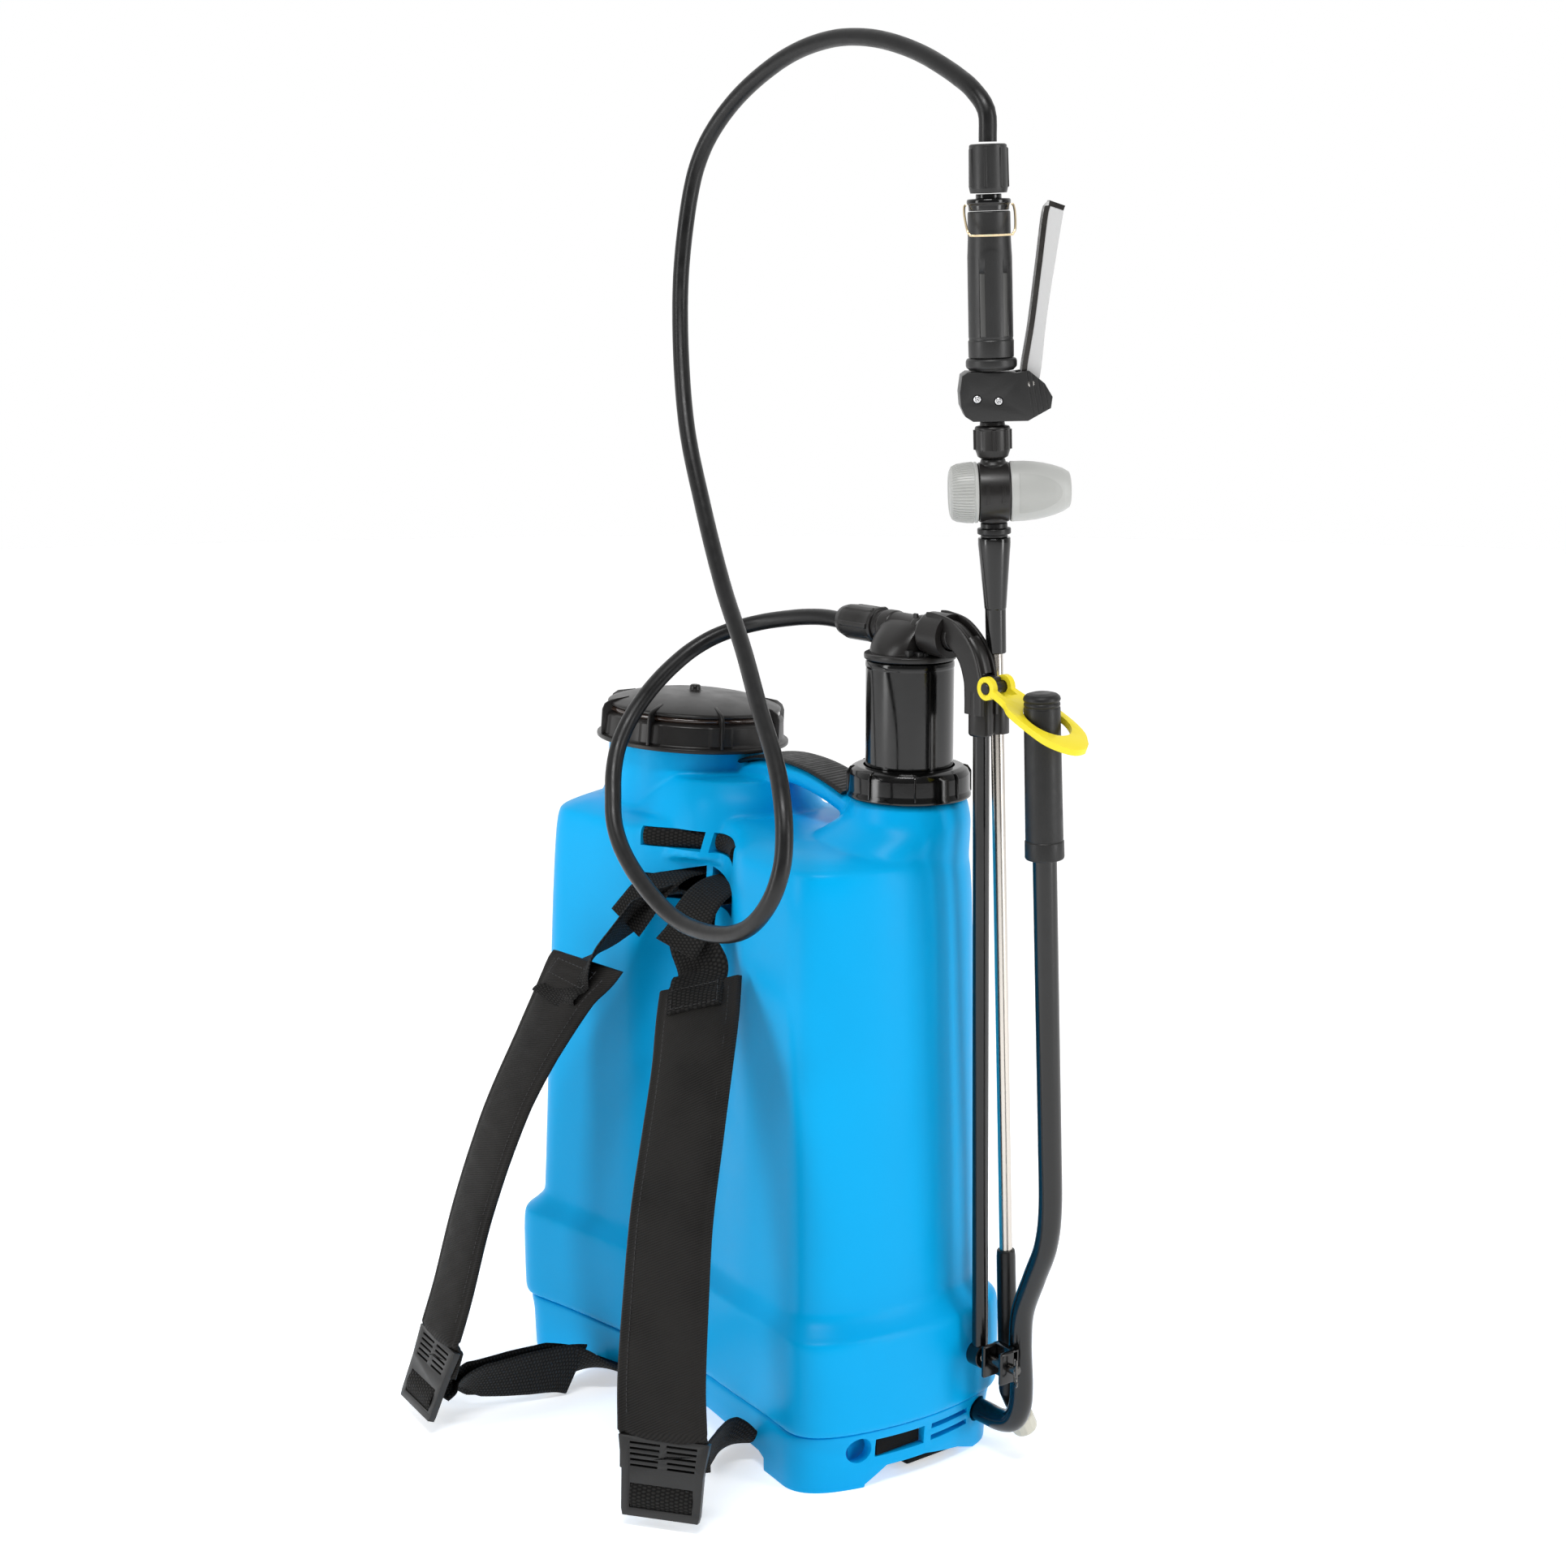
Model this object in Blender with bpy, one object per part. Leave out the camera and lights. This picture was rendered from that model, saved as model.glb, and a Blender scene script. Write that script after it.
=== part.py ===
"""A 16 litre knapsack sprayer: blow-moulded tank, hand pump worked by a side lever, hose, spray gun and straps.

The tank stands on z = 0. The wearer's side faces -Y and the lever is on +X. Sizes are in metres.
"""

import math

import bmesh
import bpy
from mathutils import Matrix, Vector

# The row's origin lies under the middle of the outer box; the tank's own middle is this far from it.
TANK_X, TANK_Y = -0.0461, 0.0669

# Tank and base
BAND_HALF_W, BAND_HALF_D = 0.181, 0.087
BODY_HALF_W, BODY_HALF_D = 0.1705, 0.0765
CORNER = 0.034
WALL = 0.004
BASE_H = 0.038
SHOULDER_Z = 0.385
TOP_SHIFT = 0.006
GAP = 0.0003

# Filling neck and lid
LID = Vector((-0.070, 0.002, 0.4376))
LID_LEAN = Vector((0.027, 0.051, 1.0)).normalized()
LID_R = 0.0645
NECK_R = 0.056
NECK_BORE = 0.050

# Pump
PUMP_X, PUMP_Y = 0.125, 0.0243
NUT_Z0, NUT_Z1, NUT_R = 0.4265, 0.446, 0.0385
CHAMBER_R = 0.0275
CHAMBER_TOP = 0.512
HEAD_Z = 0.530
ROD_X = 0.189
ROD_R = 0.005
ROD_LEAN = math.radians(0.98)
STROKE = 0.0587

# Lever
PIVOT = Vector((0.178, 0.050, 0.026))
LEVER_LEAN = 0.0503
LEVER_R = 0.0073
LEVER_X = 0.2395
LEVER_TOP = 0.4985
PIN_Y, PIN_Z = 0.032, 0.075

# Lance, leaning in the YZ plane, with the gun's parts turned towards SIDE
LANCE = Vector((0.189, 0.0377, 0.495))
LANCE_LEAN = 0.0435
LANCE_R = 0.0041
SIDE_DEG = 51.3

# Straps
WEB_W, WEB_T = 0.038, 0.0016
PAD_W, PAD_T = 0.058, 0.009
SLOT_X = {"left": -0.013, "right": 0.034}
HOSE_R = 0.0053


def clear_scene():
    for item in list(bpy.data.objects):
        bpy.data.objects.remove(item, do_unlink=True)


def material(name, rgb, roughness, metallic=0.0):
    mat = bpy.data.materials.new(name)
    mat.use_nodes = True
    shader = mat.node_tree.nodes["Principled BSDF"]
    shader.inputs["Base Color"].default_value = (*rgb, 1.0)
    shader.inputs["Roughness"].default_value = roughness
    shader.inputs["Metallic"].default_value = metallic
    return mat


def empty(name, at, parent=None, turn=None):
    item = bpy.data.objects.new(name, None)
    bpy.context.collection.objects.link(item)
    item.parent = parent
    item.matrix_parent_inverse = parent.matrix_world.inverted() if parent else Matrix()
    item.matrix_world = Matrix.Translation(at) @ (turn.to_4x4() if turn else Matrix())
    bpy.context.view_layer.update()
    return item


def place(item, parent, matrix=None):
    """Hang an object on an empty; matrix is where it stands in the sprayer's own axes."""
    item.parent = parent
    item.matrix_parent_inverse = parent.matrix_world.inverted()
    item.matrix_world = matrix if matrix else Matrix()
    bpy.context.view_layer.update()
    return item


def from_bmesh(name, bm, mat, parent, matrix=None, smooth=True):
    bmesh.ops.recalc_face_normals(bm, faces=bm.faces)
    mesh = bpy.data.meshes.new(name)
    bm.to_mesh(mesh)
    bm.free()
    if smooth:
        mesh.shade_smooth()
        mesh.set_sharp_from_angle(angle=math.radians(35))
    mesh.materials.append(mat)
    item = bpy.data.objects.new(name, mesh)
    bpy.context.collection.objects.link(item)
    return place(item, parent, matrix)


def loft(name, rings, mat, parent, matrix=None, closed=False):
    """Join rings of equally many points; the ends are capped, or the last ring meets the first one."""
    bm = bmesh.new()
    rows = [[bm.verts.new(p) for p in ring] for ring in rings]
    pairs = list(zip(rows, rows[1:]))
    if closed:
        pairs.append((rows[-1], rows[0]))
    for low, high in pairs:
        for i in range(len(low)):
            k = (i + 1) % len(low)
            bm.faces.new((low[i], low[k], high[k], high[i]))
    if not closed:
        bm.faces.new(rows[0][::-1])
        bm.faces.new(rows[-1])
    return from_bmesh(name, bm, mat, parent, matrix)


def lathe(name, profile, mat, parent, matrix=None, steps=32, bore=False):
    """Turn (radius, height) points about local Z. With bore the profile is a closed outline off the axis."""
    bm = bmesh.new()
    rings = []
    for radius, height in profile:
        if radius < 1e-6:
            rings.append([bm.verts.new((0, 0, height))])
            continue
        angles = [2 * math.pi * i / steps for i in range(steps)]
        rings.append([bm.verts.new((radius * math.cos(a), radius * math.sin(a), height)) for a in angles])
    pairs = list(zip(rings, rings[1:]))
    if bore:
        pairs.append((rings[-1], rings[0]))
    for a, b in pairs:
        for i in range(steps):
            k = (i + 1) % steps
            corners = [a[i % len(a)], a[k % len(a)], b[k % len(b)], b[i % len(b)]]
            corners = [v for n, v in enumerate(corners) if v not in corners[:n]]
            if len(corners) > 2:
                bm.faces.new(corners)
    if not bore:
        for ring in (rings[0], rings[-1]):
            if len(ring) > 1:
                bm.faces.new(ring)
    return from_bmesh(name, bm, mat, parent, matrix)


def box(name, size, centre, mat, parent, matrix=None, bevel=0.0):
    bm = bmesh.new()
    bmesh.ops.create_cube(bm, size=1.0)
    bmesh.ops.scale(bm, vec=size, verts=bm.verts)
    if bevel:
        bmesh.ops.bevel(bm, geom=bm.edges[:], offset=bevel, segments=2, affect="EDGES", profile=0.5)
    bmesh.ops.translate(bm, vec=centre, verts=bm.verts)
    return from_bmesh(name, bm, mat, parent, matrix)


def prism(name, outline, thickness, mat, parent, matrix=None):
    """Extrude an outline in local XY by thickness, centred on local z = 0."""
    half = thickness / 2
    return loft(name, [[(x, y, -half) for x, y in outline], [(x, y, half) for x, y in outline]], mat, parent, matrix)


def boolean(item, other, operation):
    other.hide_render = True
    other.display_type = "WIRE"
    step = item.modifiers.new(other.name, "BOOLEAN")
    step.operation = operation
    step.solver = "EXACT"
    step.object = other
    return item


def spline(points, count):
    """Points at equal steps along a smooth curve through the given ones."""
    pts = [Vector(p) for p in points]
    pts = [2 * pts[0] - pts[1], *pts, 2 * pts[-1] - pts[-2]]
    fine = []
    for p0, p1, p2, p3 in zip(pts, pts[1:], pts[2:], pts[3:]):
        for i in range(24):
            t = i / 24
            a = (-p0 + 3 * p1 - 3 * p2 + p3) * t**3
            b = (2 * p0 - 5 * p1 + 4 * p2 - p3) * t**2
            fine.append((a + b + (p2 - p0) * t + 2 * p1) / 2)
    fine.append(pts[-2])
    run = [0.0]
    for a, b in zip(fine, fine[1:]):
        run.append(run[-1] + (b - a).length)
    out, k = [], 0
    for i in range(count):
        want = run[-1] * i / (count - 1)
        while k < len(run) - 2 and run[k + 1] < want:
            k += 1
        share = (want - run[k]) / max(run[k + 1] - run[k], 1e-9)
        out.append(fine[k].lerp(fine[k + 1], min(max(share, 0.0), 1.0)))
    return out


def tube(name, points, radius, mat, parent, resolution=3, cyclic=False):
    data = bpy.data.curves.new(name, "CURVE")
    data.dimensions = "3D"
    data.bevel_depth = radius
    data.bevel_resolution = resolution
    data.render_resolution_u = 0
    data.use_fill_caps = True
    line = data.splines.new("POLY")
    line.points.add(len(points) - 1)
    for point, co in zip(line.points, points):
        point.co = (*co, 1.0)
    line.use_cyclic_u = cyclic
    data.materials.append(mat)
    item = bpy.data.objects.new(name, data)
    bpy.context.collection.objects.link(item)
    return place(item, parent)


def pipe(name, points, outer, inner, mat, parent, sides=12):
    """A bent tube with an open bore, swept along points."""
    last = len(points) - 1
    side = Vector((0, 1, 0))
    skins = ([], [])
    for i, p in enumerate(points):
        ahead = (points[min(i + 1, last)] - points[max(i - 1, 0)]).normalized()
        side = (side - ahead * side.dot(ahead)).normalized()
        other = ahead.cross(side)
        for radius, skin in zip((outer, inner), skins):
            angles = [2 * math.pi * k / sides for k in range(sides)]
            skin.append([p + (side * math.cos(a) + other * math.sin(a)) * radius for a in angles])
    return loft(name, skins[0] + skins[1][::-1], mat, parent, closed=True)


def ribbon(name, points, across, width, thickness, mat, parent):
    """A flat strap along points; across lists its width direction at even steps from start to end."""
    rings = []
    last = len(points) - 1
    for i, p in enumerate(points):
        ahead = (points[min(i + 1, last)] - points[max(i - 1, 0)]).normalized()
        step = i / last * (len(across) - 1)
        k = min(int(step), len(across) - 2)
        side = Vector(across[k]).lerp(Vector(across[k + 1]), step - k)
        side = (side - ahead * side.dot(ahead)).normalized() * width / 2
        up = ahead.cross(side).normalized() * thickness / 2
        rings.append([p - side - up, p + side - up, p + side + up, p - side + up])
    return loft(name, rings, mat, parent)


def bezier(a, ta, tb, b, count):
    reach = (b - a).length * 0.42
    p = [a, a + ta.normalized() * reach, b - tb.normalized() * reach, b]
    out = []
    for i in range(1, count):
        t = i / count
        s = 1 - t
        out.append(p[0] * s**3 + p[1] * 3 * s * s * t + p[2] * 3 * s * t * t + p[3] * t**3)
    return out


def tank_outline(half_w, half_d, hollow, recess, recess_w, n_front=20, n_side=6, n_corner=6):
    """The tank's plan at one height: front hollow to fit the back, ends bulging, back slightly round."""
    bulge, back_bulge = 0.007, 0.008
    flat_x = half_w - bulge - CORNER
    flat_y = half_d - CORNER

    def front(x):
        groove = 0.5 + 0.5 * math.cos(math.pi * min(abs(x - 0.012) / recess_w, 1.0))
        return -half_d + hollow * (1 - (x / flat_x) ** 2) + recess * groove

    xs = [flat_x * (2 * i / n_front - 1) for i in range(n_front + 1)]
    ys = [flat_y * (2 * i / n_side - 1) for i in range(n_side + 1)]
    side = [Vector((half_w - bulge * (y / flat_y) ** 2, y)) for y in ys]
    front_line = [Vector((x, front(x))) for x in xs]
    back_line = [Vector((-x, half_d - back_bulge * (x / flat_x) ** 2)) for x in xs[::2]]
    far_side = [Vector((-p.x, -p.y)) for p in side]
    ends = Vector((1, -2 * hollow / flat_x))
    lean = Vector((2 * bulge / flat_y, 1))
    tail = Vector((-1, 2 * back_bulge / flat_x))
    out = front_line + bezier(front_line[-1], ends, lean, side[0], n_corner)
    out += side + bezier(side[-1], Vector((-lean.x, 1)), tail, back_line[0], n_corner)
    out += back_line + bezier(back_line[-1], Vector((-1, -tail.y)), Vector((-lean.x, -1)), far_side[0], n_corner)
    out += far_side
    out += bezier(far_side[-1], Vector((lean.x, -1)), Vector((1, -ends.y)), front_line[0], n_corner)
    return out


# (height, inset from the widest outline in X and Y, front hollow, recess depth, recess half width)
TANK_LEVELS = [
    (0.0383, 0.003, 0.003, 0.0115, 0.003, 0.075),
    (0.048, 0.0, 0.0, 0.0117, 0.003, 0.075),
    (0.095, 0.0, 0.0, 0.0117, 0.004, 0.075),
    (0.103, 0.0035, 0.0035, 0.0115, 0.005, 0.075),
    (0.112, 0.0095, 0.0095, 0.010, 0.006, 0.075),
    (0.125, 0.0105, 0.0105, 0.009, 0.006, 0.075),
    (0.200, 0.013, 0.0115, 0.009, 0.010, 0.072),
    (0.280, 0.0165, 0.012, 0.008, 0.016, 0.068),
    (0.340, 0.019, 0.0125, 0.006, 0.022, 0.064),
    (0.385, 0.022, 0.014, 0.004, 0.027, 0.062),
    (0.3935, 0.027, 0.019, 0.003, 0.0255, 0.060),
    (0.3985, 0.039, 0.030, 0.002, 0.018, 0.058),
    (0.401, 0.058, 0.046, 0.001, 0.008, 0.056),
]


def tank_loft(name, levels, mat, parent, shrink=0.0, **detail):
    rings = []
    for z, inset_x, inset_y, hollow, recess, recess_w in levels:
        half_w = BAND_HALF_W - inset_x - shrink
        half_d = BAND_HALF_D - inset_y - shrink
        outline = tank_outline(half_w, half_d, hollow, recess, recess_w, **detail)
        shift = TOP_SHIFT * min(max((z - 0.112) / (SHOULDER_Z - 0.112), 0.0), 1.0)
        rings.append([(p.x + shift, p.y, z) for p in outline])
    return loft(name, rings, mat, parent)


def oval(half_x, half_y, centre, z, count=40, power=2.6):
    out = []
    for i in range(count):
        a = 2 * math.pi * i / count
        c, s = math.cos(a), math.sin(a)
        x = half_x * math.copysign(abs(c) ** (2 / power), c)
        y = half_y * math.copysign(abs(s) ** (2 / power), s)
        out.append((centre[0] + x, centre[1] + y, z))
    return out


def aim(at, axis, x_axis=None):
    """A matrix at a point whose local Z runs along axis, with local X near x_axis."""
    z = Vector(axis).normalized()
    x = Vector(x_axis) if x_axis else Vector((1, 0, 0) if abs(z.x) < 0.9 else (0, 1, 0))
    x = (x - z * x.dot(z)).normalized()
    turn = Matrix((x, z.cross(x), z)).transposed()
    return Matrix.Translation(at) @ turn.to_4x4()


clear_scene()
ROOT = empty("sprayer", (0, 0, 0))

BLUE = material("tank_blue", (0.0, 0.38, 0.82), 0.45)
BLACK = material("black_plastic", (0.015, 0.015, 0.016), 0.38)
GLOSS = material("gloss_black", (0.008, 0.008, 0.009), 0.15)
PAINT = material("black_paint", (0.01, 0.01, 0.011), 0.22)
RUBBER = material("grip_rubber", (0.03, 0.03, 0.032), 0.6)
WEB = material("webbing", (0.012, 0.012, 0.013), 0.85)
STEEL = material("stainless_steel", (0.62, 0.59, 0.55), 0.25, 1.0)
CHROME = material("chrome", (0.75, 0.75, 0.76), 0.12, 1.0)
BRASS = material("brass_wire", (0.75, 0.55, 0.25), 0.3, 1.0)
YELLOW = material("yellow_plastic", (0.95, 0.82, 0.02), 0.45)
GREY = material("light_grey_plastic", (0.72, 0.72, 0.70), 0.4)
FILTER = material("filter_plastic", (0.8, 0.8, 0.78), 0.5)

LID_AT = aim(LID, LID_LEAN)
PUMP_AT = Matrix.Translation((PUMP_X, PUMP_Y, 0))
BORE_TURN = Matrix.Rotation(0.03, 4, "Z")
UPRIGHT = Matrix(((1, 0, 0), (0, 0, 1), (0, 1, 0))).to_4x4()
SIDEWAYS = Matrix(((0, 0, 1), (1, 0, 0), (0, 1, 0))).to_4x4()
LANCE_DIR = Vector((0, -LANCE_LEAN, 1)).normalized()
GUN = aim(LANCE, LANCE_DIR, (math.cos(math.radians(SIDE_DEG)), math.sin(math.radians(SIDE_DEG)), 0))
ROD_LEN = math.hypot(PIN_Y - PUMP_Y, HEAD_Z - PIN_Z)


def rod(name, radius, reach, mat, parent, matrix, steps=16):
    """A plain round bar about local Z, from -reach to reach or between two heights."""
    low, high = reach if isinstance(reach, tuple) else (-reach, reach)
    return lathe(name, [(0, high), (radius, high), (radius, low), (0, low)], mat, parent, matrix, steps)


# ---- Tank: outer shell, shoulder block, neck, pump turret and carrying arch, then hollowed

ARCH = [(-0.036, 0.012, 0.4000), (-0.022, 0.012, 0.4165), (-0.008, 0.012, 0.4240), (0.012, 0.012, 0.4285)]
ARCH += [(0.033, 0.012, 0.4292), (0.056, 0.013, 0.4262), (0.080, 0.015, 0.4185), (0.100, 0.018, 0.4080)]
ARCH_ACROSS = ((0, 1, 0), (0, 1, 0))
INSIDE_LEVELS = [
    (0.0425, 0.006, 0.006, 0.0115, 0.003, 0.075),
    (0.095, 0.002, 0.002, 0.0117, 0.004, 0.075),
    (0.112, 0.0105, 0.0105, 0.010, 0.006, 0.075),
    (0.280, 0.0165, 0.012, 0.008, 0.016, 0.068),
    (0.3795, 0.0215, 0.0140, 0.004, 0.027, 0.062),
    (0.3945, 0.040, 0.032, 0.002, 0.018, 0.058),
]
TUNNEL = [(-0.075, 0.380), (-0.075, 0.3925), (-0.030, 0.3925), (-0.030, 0.349), (-0.085, 0.349)]
TUNNEL += [(-0.085, 0.362), (-0.040, 0.362), (-0.040, 0.380)]


def add_tank_top(tank):
    middle = (-0.052, 0.004)
    rings = [
        oval(0.091, 0.067, middle, 0.374),
        oval(0.084, 0.059, middle, 0.398),
        oval(0.079, 0.053, middle, 0.412),
        oval(0.070, 0.046, middle, 0.4225),
    ]
    boolean(tank, loft("tank_block", rings, BLUE, ROOT), "UNION")
    neck = lathe("tank_neck", [(0, 0.013), (NECK_R, 0.013), (NECK_R, -0.045), (0, -0.045)], BLUE, ROOT, LID_AT, 48)
    boolean(tank, neck, "UNION")
    rings = [
        oval(0.054, 0.063, (0.1080, 0.0045), 0.372, 48),
        oval(0.050, 0.056, (0.1120, 0.0095), 0.388, 48),
        oval(0.0445, 0.047, (0.1185, 0.0175), 0.402, 48, 2.3),
        oval(0.0395, 0.0395, (0.1240, 0.0240), 0.4135, 48, 2.0),
        oval(0.0360, 0.0360, (PUMP_X, PUMP_Y), 0.4262, 48, 2.0),
    ]
    boolean(tank, loft("tank_turret", rings, BLUE, ROOT), "UNION")
    boolean(tank, ribbon("tank_arch", spline(ARCH, 13), ARCH_ACROSS, 0.028, 0.013, BLUE, ROOT), "UNION")


def hollow_tank(tank):
    inside = tank_loft("tank_inside", INSIDE_LEVELS, BLUE, ROOT, WALL, n_front=12, n_side=2, n_corner=4)
    anchor_block = box("tank_anchor_block", (0.098, 0.060, 0.060), (0.0110, -0.057, 0.3715), BLUE, ROOT)
    boolean(inside, anchor_block, "DIFFERENCE")
    boolean(tank, inside, "DIFFERENCE")
    bore = rod("tank_fill_bore", NECK_BORE, (-0.055, 0.02), BLUE, ROOT, LID_AT @ BORE_TURN, 40)
    boolean(tank, bore, "DIFFERENCE")
    bore = rod("tank_pump_bore", 0.0313, (0.345, 0.44), BLUE, ROOT, PUMP_AT @ BORE_TURN, 40)
    boolean(tank, bore, "DIFFERENCE")
    for side, slot_x in SLOT_X.items():
        at = Matrix.Translation((slot_x, 0, 0)) @ SIDEWAYS
        boolean(tank, prism("tank_tunnel_" + side, TUNNEL, 0.042, BLUE, ROOT, at), "DIFFERENCE")


def make_tank():
    tank = tank_loft("tank", TANK_LEVELS, BLUE, ROOT)
    add_tank_top(tank)
    hollow_tank(tank)
    grip_line = []
    arch_line = spline(ARCH, 21)
    for before, p, after in zip(arch_line[4:], arch_line[5:], arch_line[6:-2]):
        if p.x > 0.0830:
            break
        ahead = (after - before).normalized()
        grip_line.append(p + ahead.cross(Vector((0, 1, 0))).normalized() * (0.00775 + GAP))
    ribbon("handle_grip", grip_line, ARCH_ACROSS, 0.030, 0.0025, RUBBER, ROOT)


# ---- Base under the tank, with arches for the straps, pivot holes and side slots

SKIRT_LEVELS = [
    (0.0, 0.0070, 0.0035, 0.0115, 0.003, 0.075),
    (0.026, 0.0060, 0.003, 0.0115, 0.003, 0.075),
    (0.034, 0.0045, 0.0025, 0.0115, 0.003, 0.075),
    (BASE_H, 0.0035, 0.0035, 0.0115, 0.003, 0.075),
]
UNDER_LEVELS = [(-0.01, 0.0070, 0.004, 0.0115, 0.003, 0.075), (0.0362, 0.0060, 0.004, 0.0115, 0.003, 0.075)]
FRONT_ARCH = [(-0.110, -0.01), (0.110, -0.01), (0.110, 0.0105), (0.04, 0.0155), (-0.04, 0.0155), (-0.110, 0.0105)]
SIDE_ARCH = [(-0.047, -0.01), (0.047, -0.01), (0.047, 0.0), (0.0, 0.012), (-0.030, 0.012), (-0.045, 0.002)]


def make_base():
    base = tank_loft("base_skirt", SKIRT_LEVELS, BLUE, ROOT)
    under = tank_loft("base_under", UNDER_LEVELS, BLUE, ROOT, 0.005, n_front=12, n_side=2, n_corner=4)
    boolean(base, under, "DIFFERENCE")
    boolean(base, prism("base_front_arch", FRONT_ARCH, 0.30, BLUE, ROOT, UPRIGHT), "DIFFERENCE")
    boolean(base, prism("base_side_arch", SIDE_ARCH, 0.50, BLUE, ROOT, SIDEWAYS), "DIFFERENCE")
    for place_name, y in (("front", -PIVOT.y), ("rear", PIVOT.y)):
        hole_at = aim((PIVOT.x, y, PIVOT.z), (1, 0, 0))
        boolean(base, rod("base_pivot_hole_" + place_name, 0.0084, 0.04, BLUE, ROOT, hole_at, 24), "DIFFERENCE")
    boolean(base, box("base_web_slot", (0.05, 0.037, 0.012), (0.178, -0.0205, 0.0255), BLUE, ROOT), "DIFFERENCE")
    for n, z in enumerate((0.0215, 0.0295)):
        slot = box(f"base_side_slot_{n}", (0.05, 0.034, 0.0035), (0.178, 0.021, z), BLUE, ROOT)
        boolean(base, slot, "DIFFERENCE")


# ---- Lid: a turned cap with grip ribs over the neck, its gasket and vent, and the strainer inside

LID_PROFILE = [
    (0, 0.033),
    (0.020, 0.0325),
    (0.040, 0.030),
    (0.053, 0.026),
    (0.0545, 0.0205),
    (0.0605, 0.0185),
    (0.0625, 0.014),
    (0.0635, 0.003),
    (LID_R, 0.0025),
    (LID_R, 0.0),
    (0.0575, 0.0),
    (0.0570, 0.0155),
    (0.050, 0.0165),
    (0.030, 0.024),
    (0, 0.0275),
]
STRAINER = [(0.0495, 0.0125), (0.0495, -0.0035), (0.0425, -0.034), (0.0400, -0.070), (0, -0.070)]
STRAINER += [(0, -0.0685), (0.0385, -0.0685), (0.0410, -0.034), (0.0480, -0.0035), (0.0480, 0.0125)]


def make_lid():
    seal_frame = empty("lid_lift_axis", LID, ROOT, LID_AT.to_3x3())
    lid_frame = empty("lid_turn_axis", LID, seal_frame, LID_AT.to_3x3())
    lid = lathe("fill_lid", LID_PROFILE, BLACK, lid_frame, LID_AT, 48)
    for i in range(10):
        turn = LID_AT @ Matrix.Rotation(2 * math.pi * (i + 0.5) / 10, 4, "Z")
        rib = box(f"lid_rib_{i}", (0.0078, 0.005, 0.016), (0.0618, 0, 0.013), BLACK, lid_frame, turn)
        boolean(lid, rib, "UNION")
    vent = [(0, 0.0385), (0.0025, 0.038), (0.0042, 0.0335), (0.0042, 0.0333), (0, 0.0333)]
    lathe("lid_vent", vent, BLACK, lid_frame, LID_AT, 16)
    gasket = [(0.0555, 0.0152), (0.0555, 0.0133), (0.0505, 0.0133), (0.0505, 0.0152)]
    lathe("lid_gasket", gasket, RUBBER, seal_frame, LID_AT, 48, bore=True)
    lathe("fill_strainer", STRAINER, FILTER, ROOT, LID_AT, 36, bore=True)


# ---- Pump: ring nut, guide and suction filter stay; the pressure chamber, piston and head slide

NUT_PROFILE = [
    (0.0285, NUT_Z1),
    (0.034, NUT_Z1),
    (0.0375, NUT_Z1 - 0.003),
    (0.0380, NUT_Z0 + 0.004),
    (NUT_R, NUT_Z0 + 0.003),
    (NUT_R, NUT_Z0),
    (0.0285, NUT_Z0),
]
HEAD_PROFILE = [
    (0, 0.5275),
    (0.016, 0.5265),
    (0.0205, 0.523),
    (0.0225, 0.5185),
    (0.0262, 0.5165),
    (0.0262, CHAMBER_TOP + GAP),
    (0, CHAMBER_TOP + GAP),
]


def make_pump_body():
    nut = lathe("pump_ring_nut", NUT_PROFILE, GLOSS, ROOT, PUMP_AT, 48, bore=True)
    for i in range(8):
        turn = PUMP_AT @ Matrix.Rotation(2 * math.pi * i / 8, 4, "Z")
        rib = box(f"nut_rib_{i}", (0.004, 0.005, 0.015), (0.0372, 0, NUT_Z0 + 0.0085), GLOSS, ROOT, turn)
        boolean(nut, rib, "UNION")
    guide = [(0.0310, 0.4258), (0.0310, 0.120), (0.0285, 0.120), (0.0285, 0.4258)]
    lathe("pump_guide", guide, BLACK, ROOT, PUMP_AT, 32, bore=True)
    valve = [(0, 0.1196), (0.0275, 0.1196), (0.0275, 0.112), (0.014, 0.110), (0.014, 0.050), (0, 0.050)]
    lathe("suction_filter", valve, FILTER, ROOT, PUMP_AT, 24)


def make_pump_head(pump_frame):
    chamber = [(0, CHAMBER_TOP), (CHAMBER_R, CHAMBER_TOP), (CHAMBER_R, 0.205), (0.0245, 0.205)]
    chamber += [(0.0245, CHAMBER_TOP - 0.003), (0, CHAMBER_TOP - 0.003)]
    lathe("pressure_chamber", chamber, GLOSS, pump_frame, PUMP_AT, 40)
    cup = [(0.0282, 0.2046), (0.0282, 0.192), (0.010, 0.192), (0.010, 0.2046)]
    lathe("piston_cup", cup, RUBBER, pump_frame, PUMP_AT, 32, bore=True)
    head = lathe("pump_head", HEAD_PROFILE, BLACK, pump_frame, PUMP_AT, 40)
    across_at = aim((PUMP_X, PUMP_Y, HEAD_Z), (1, 0, 0))
    room = rod("head_collar_room", 0.0139, (0.0175, 0.045), BLACK, pump_frame, across_at, 28)
    boolean(head, room, "DIFFERENCE")
    cross = [(0, 0.041), (0.0082, 0.041), (0.0088, 0.012), (0.0110, 0.010), (0.0110, -0.022), (0, -0.022)]
    boolean(head, lathe("head_cross_tube", cross, BLACK, pump_frame, across_at, 24), "UNION")


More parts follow.
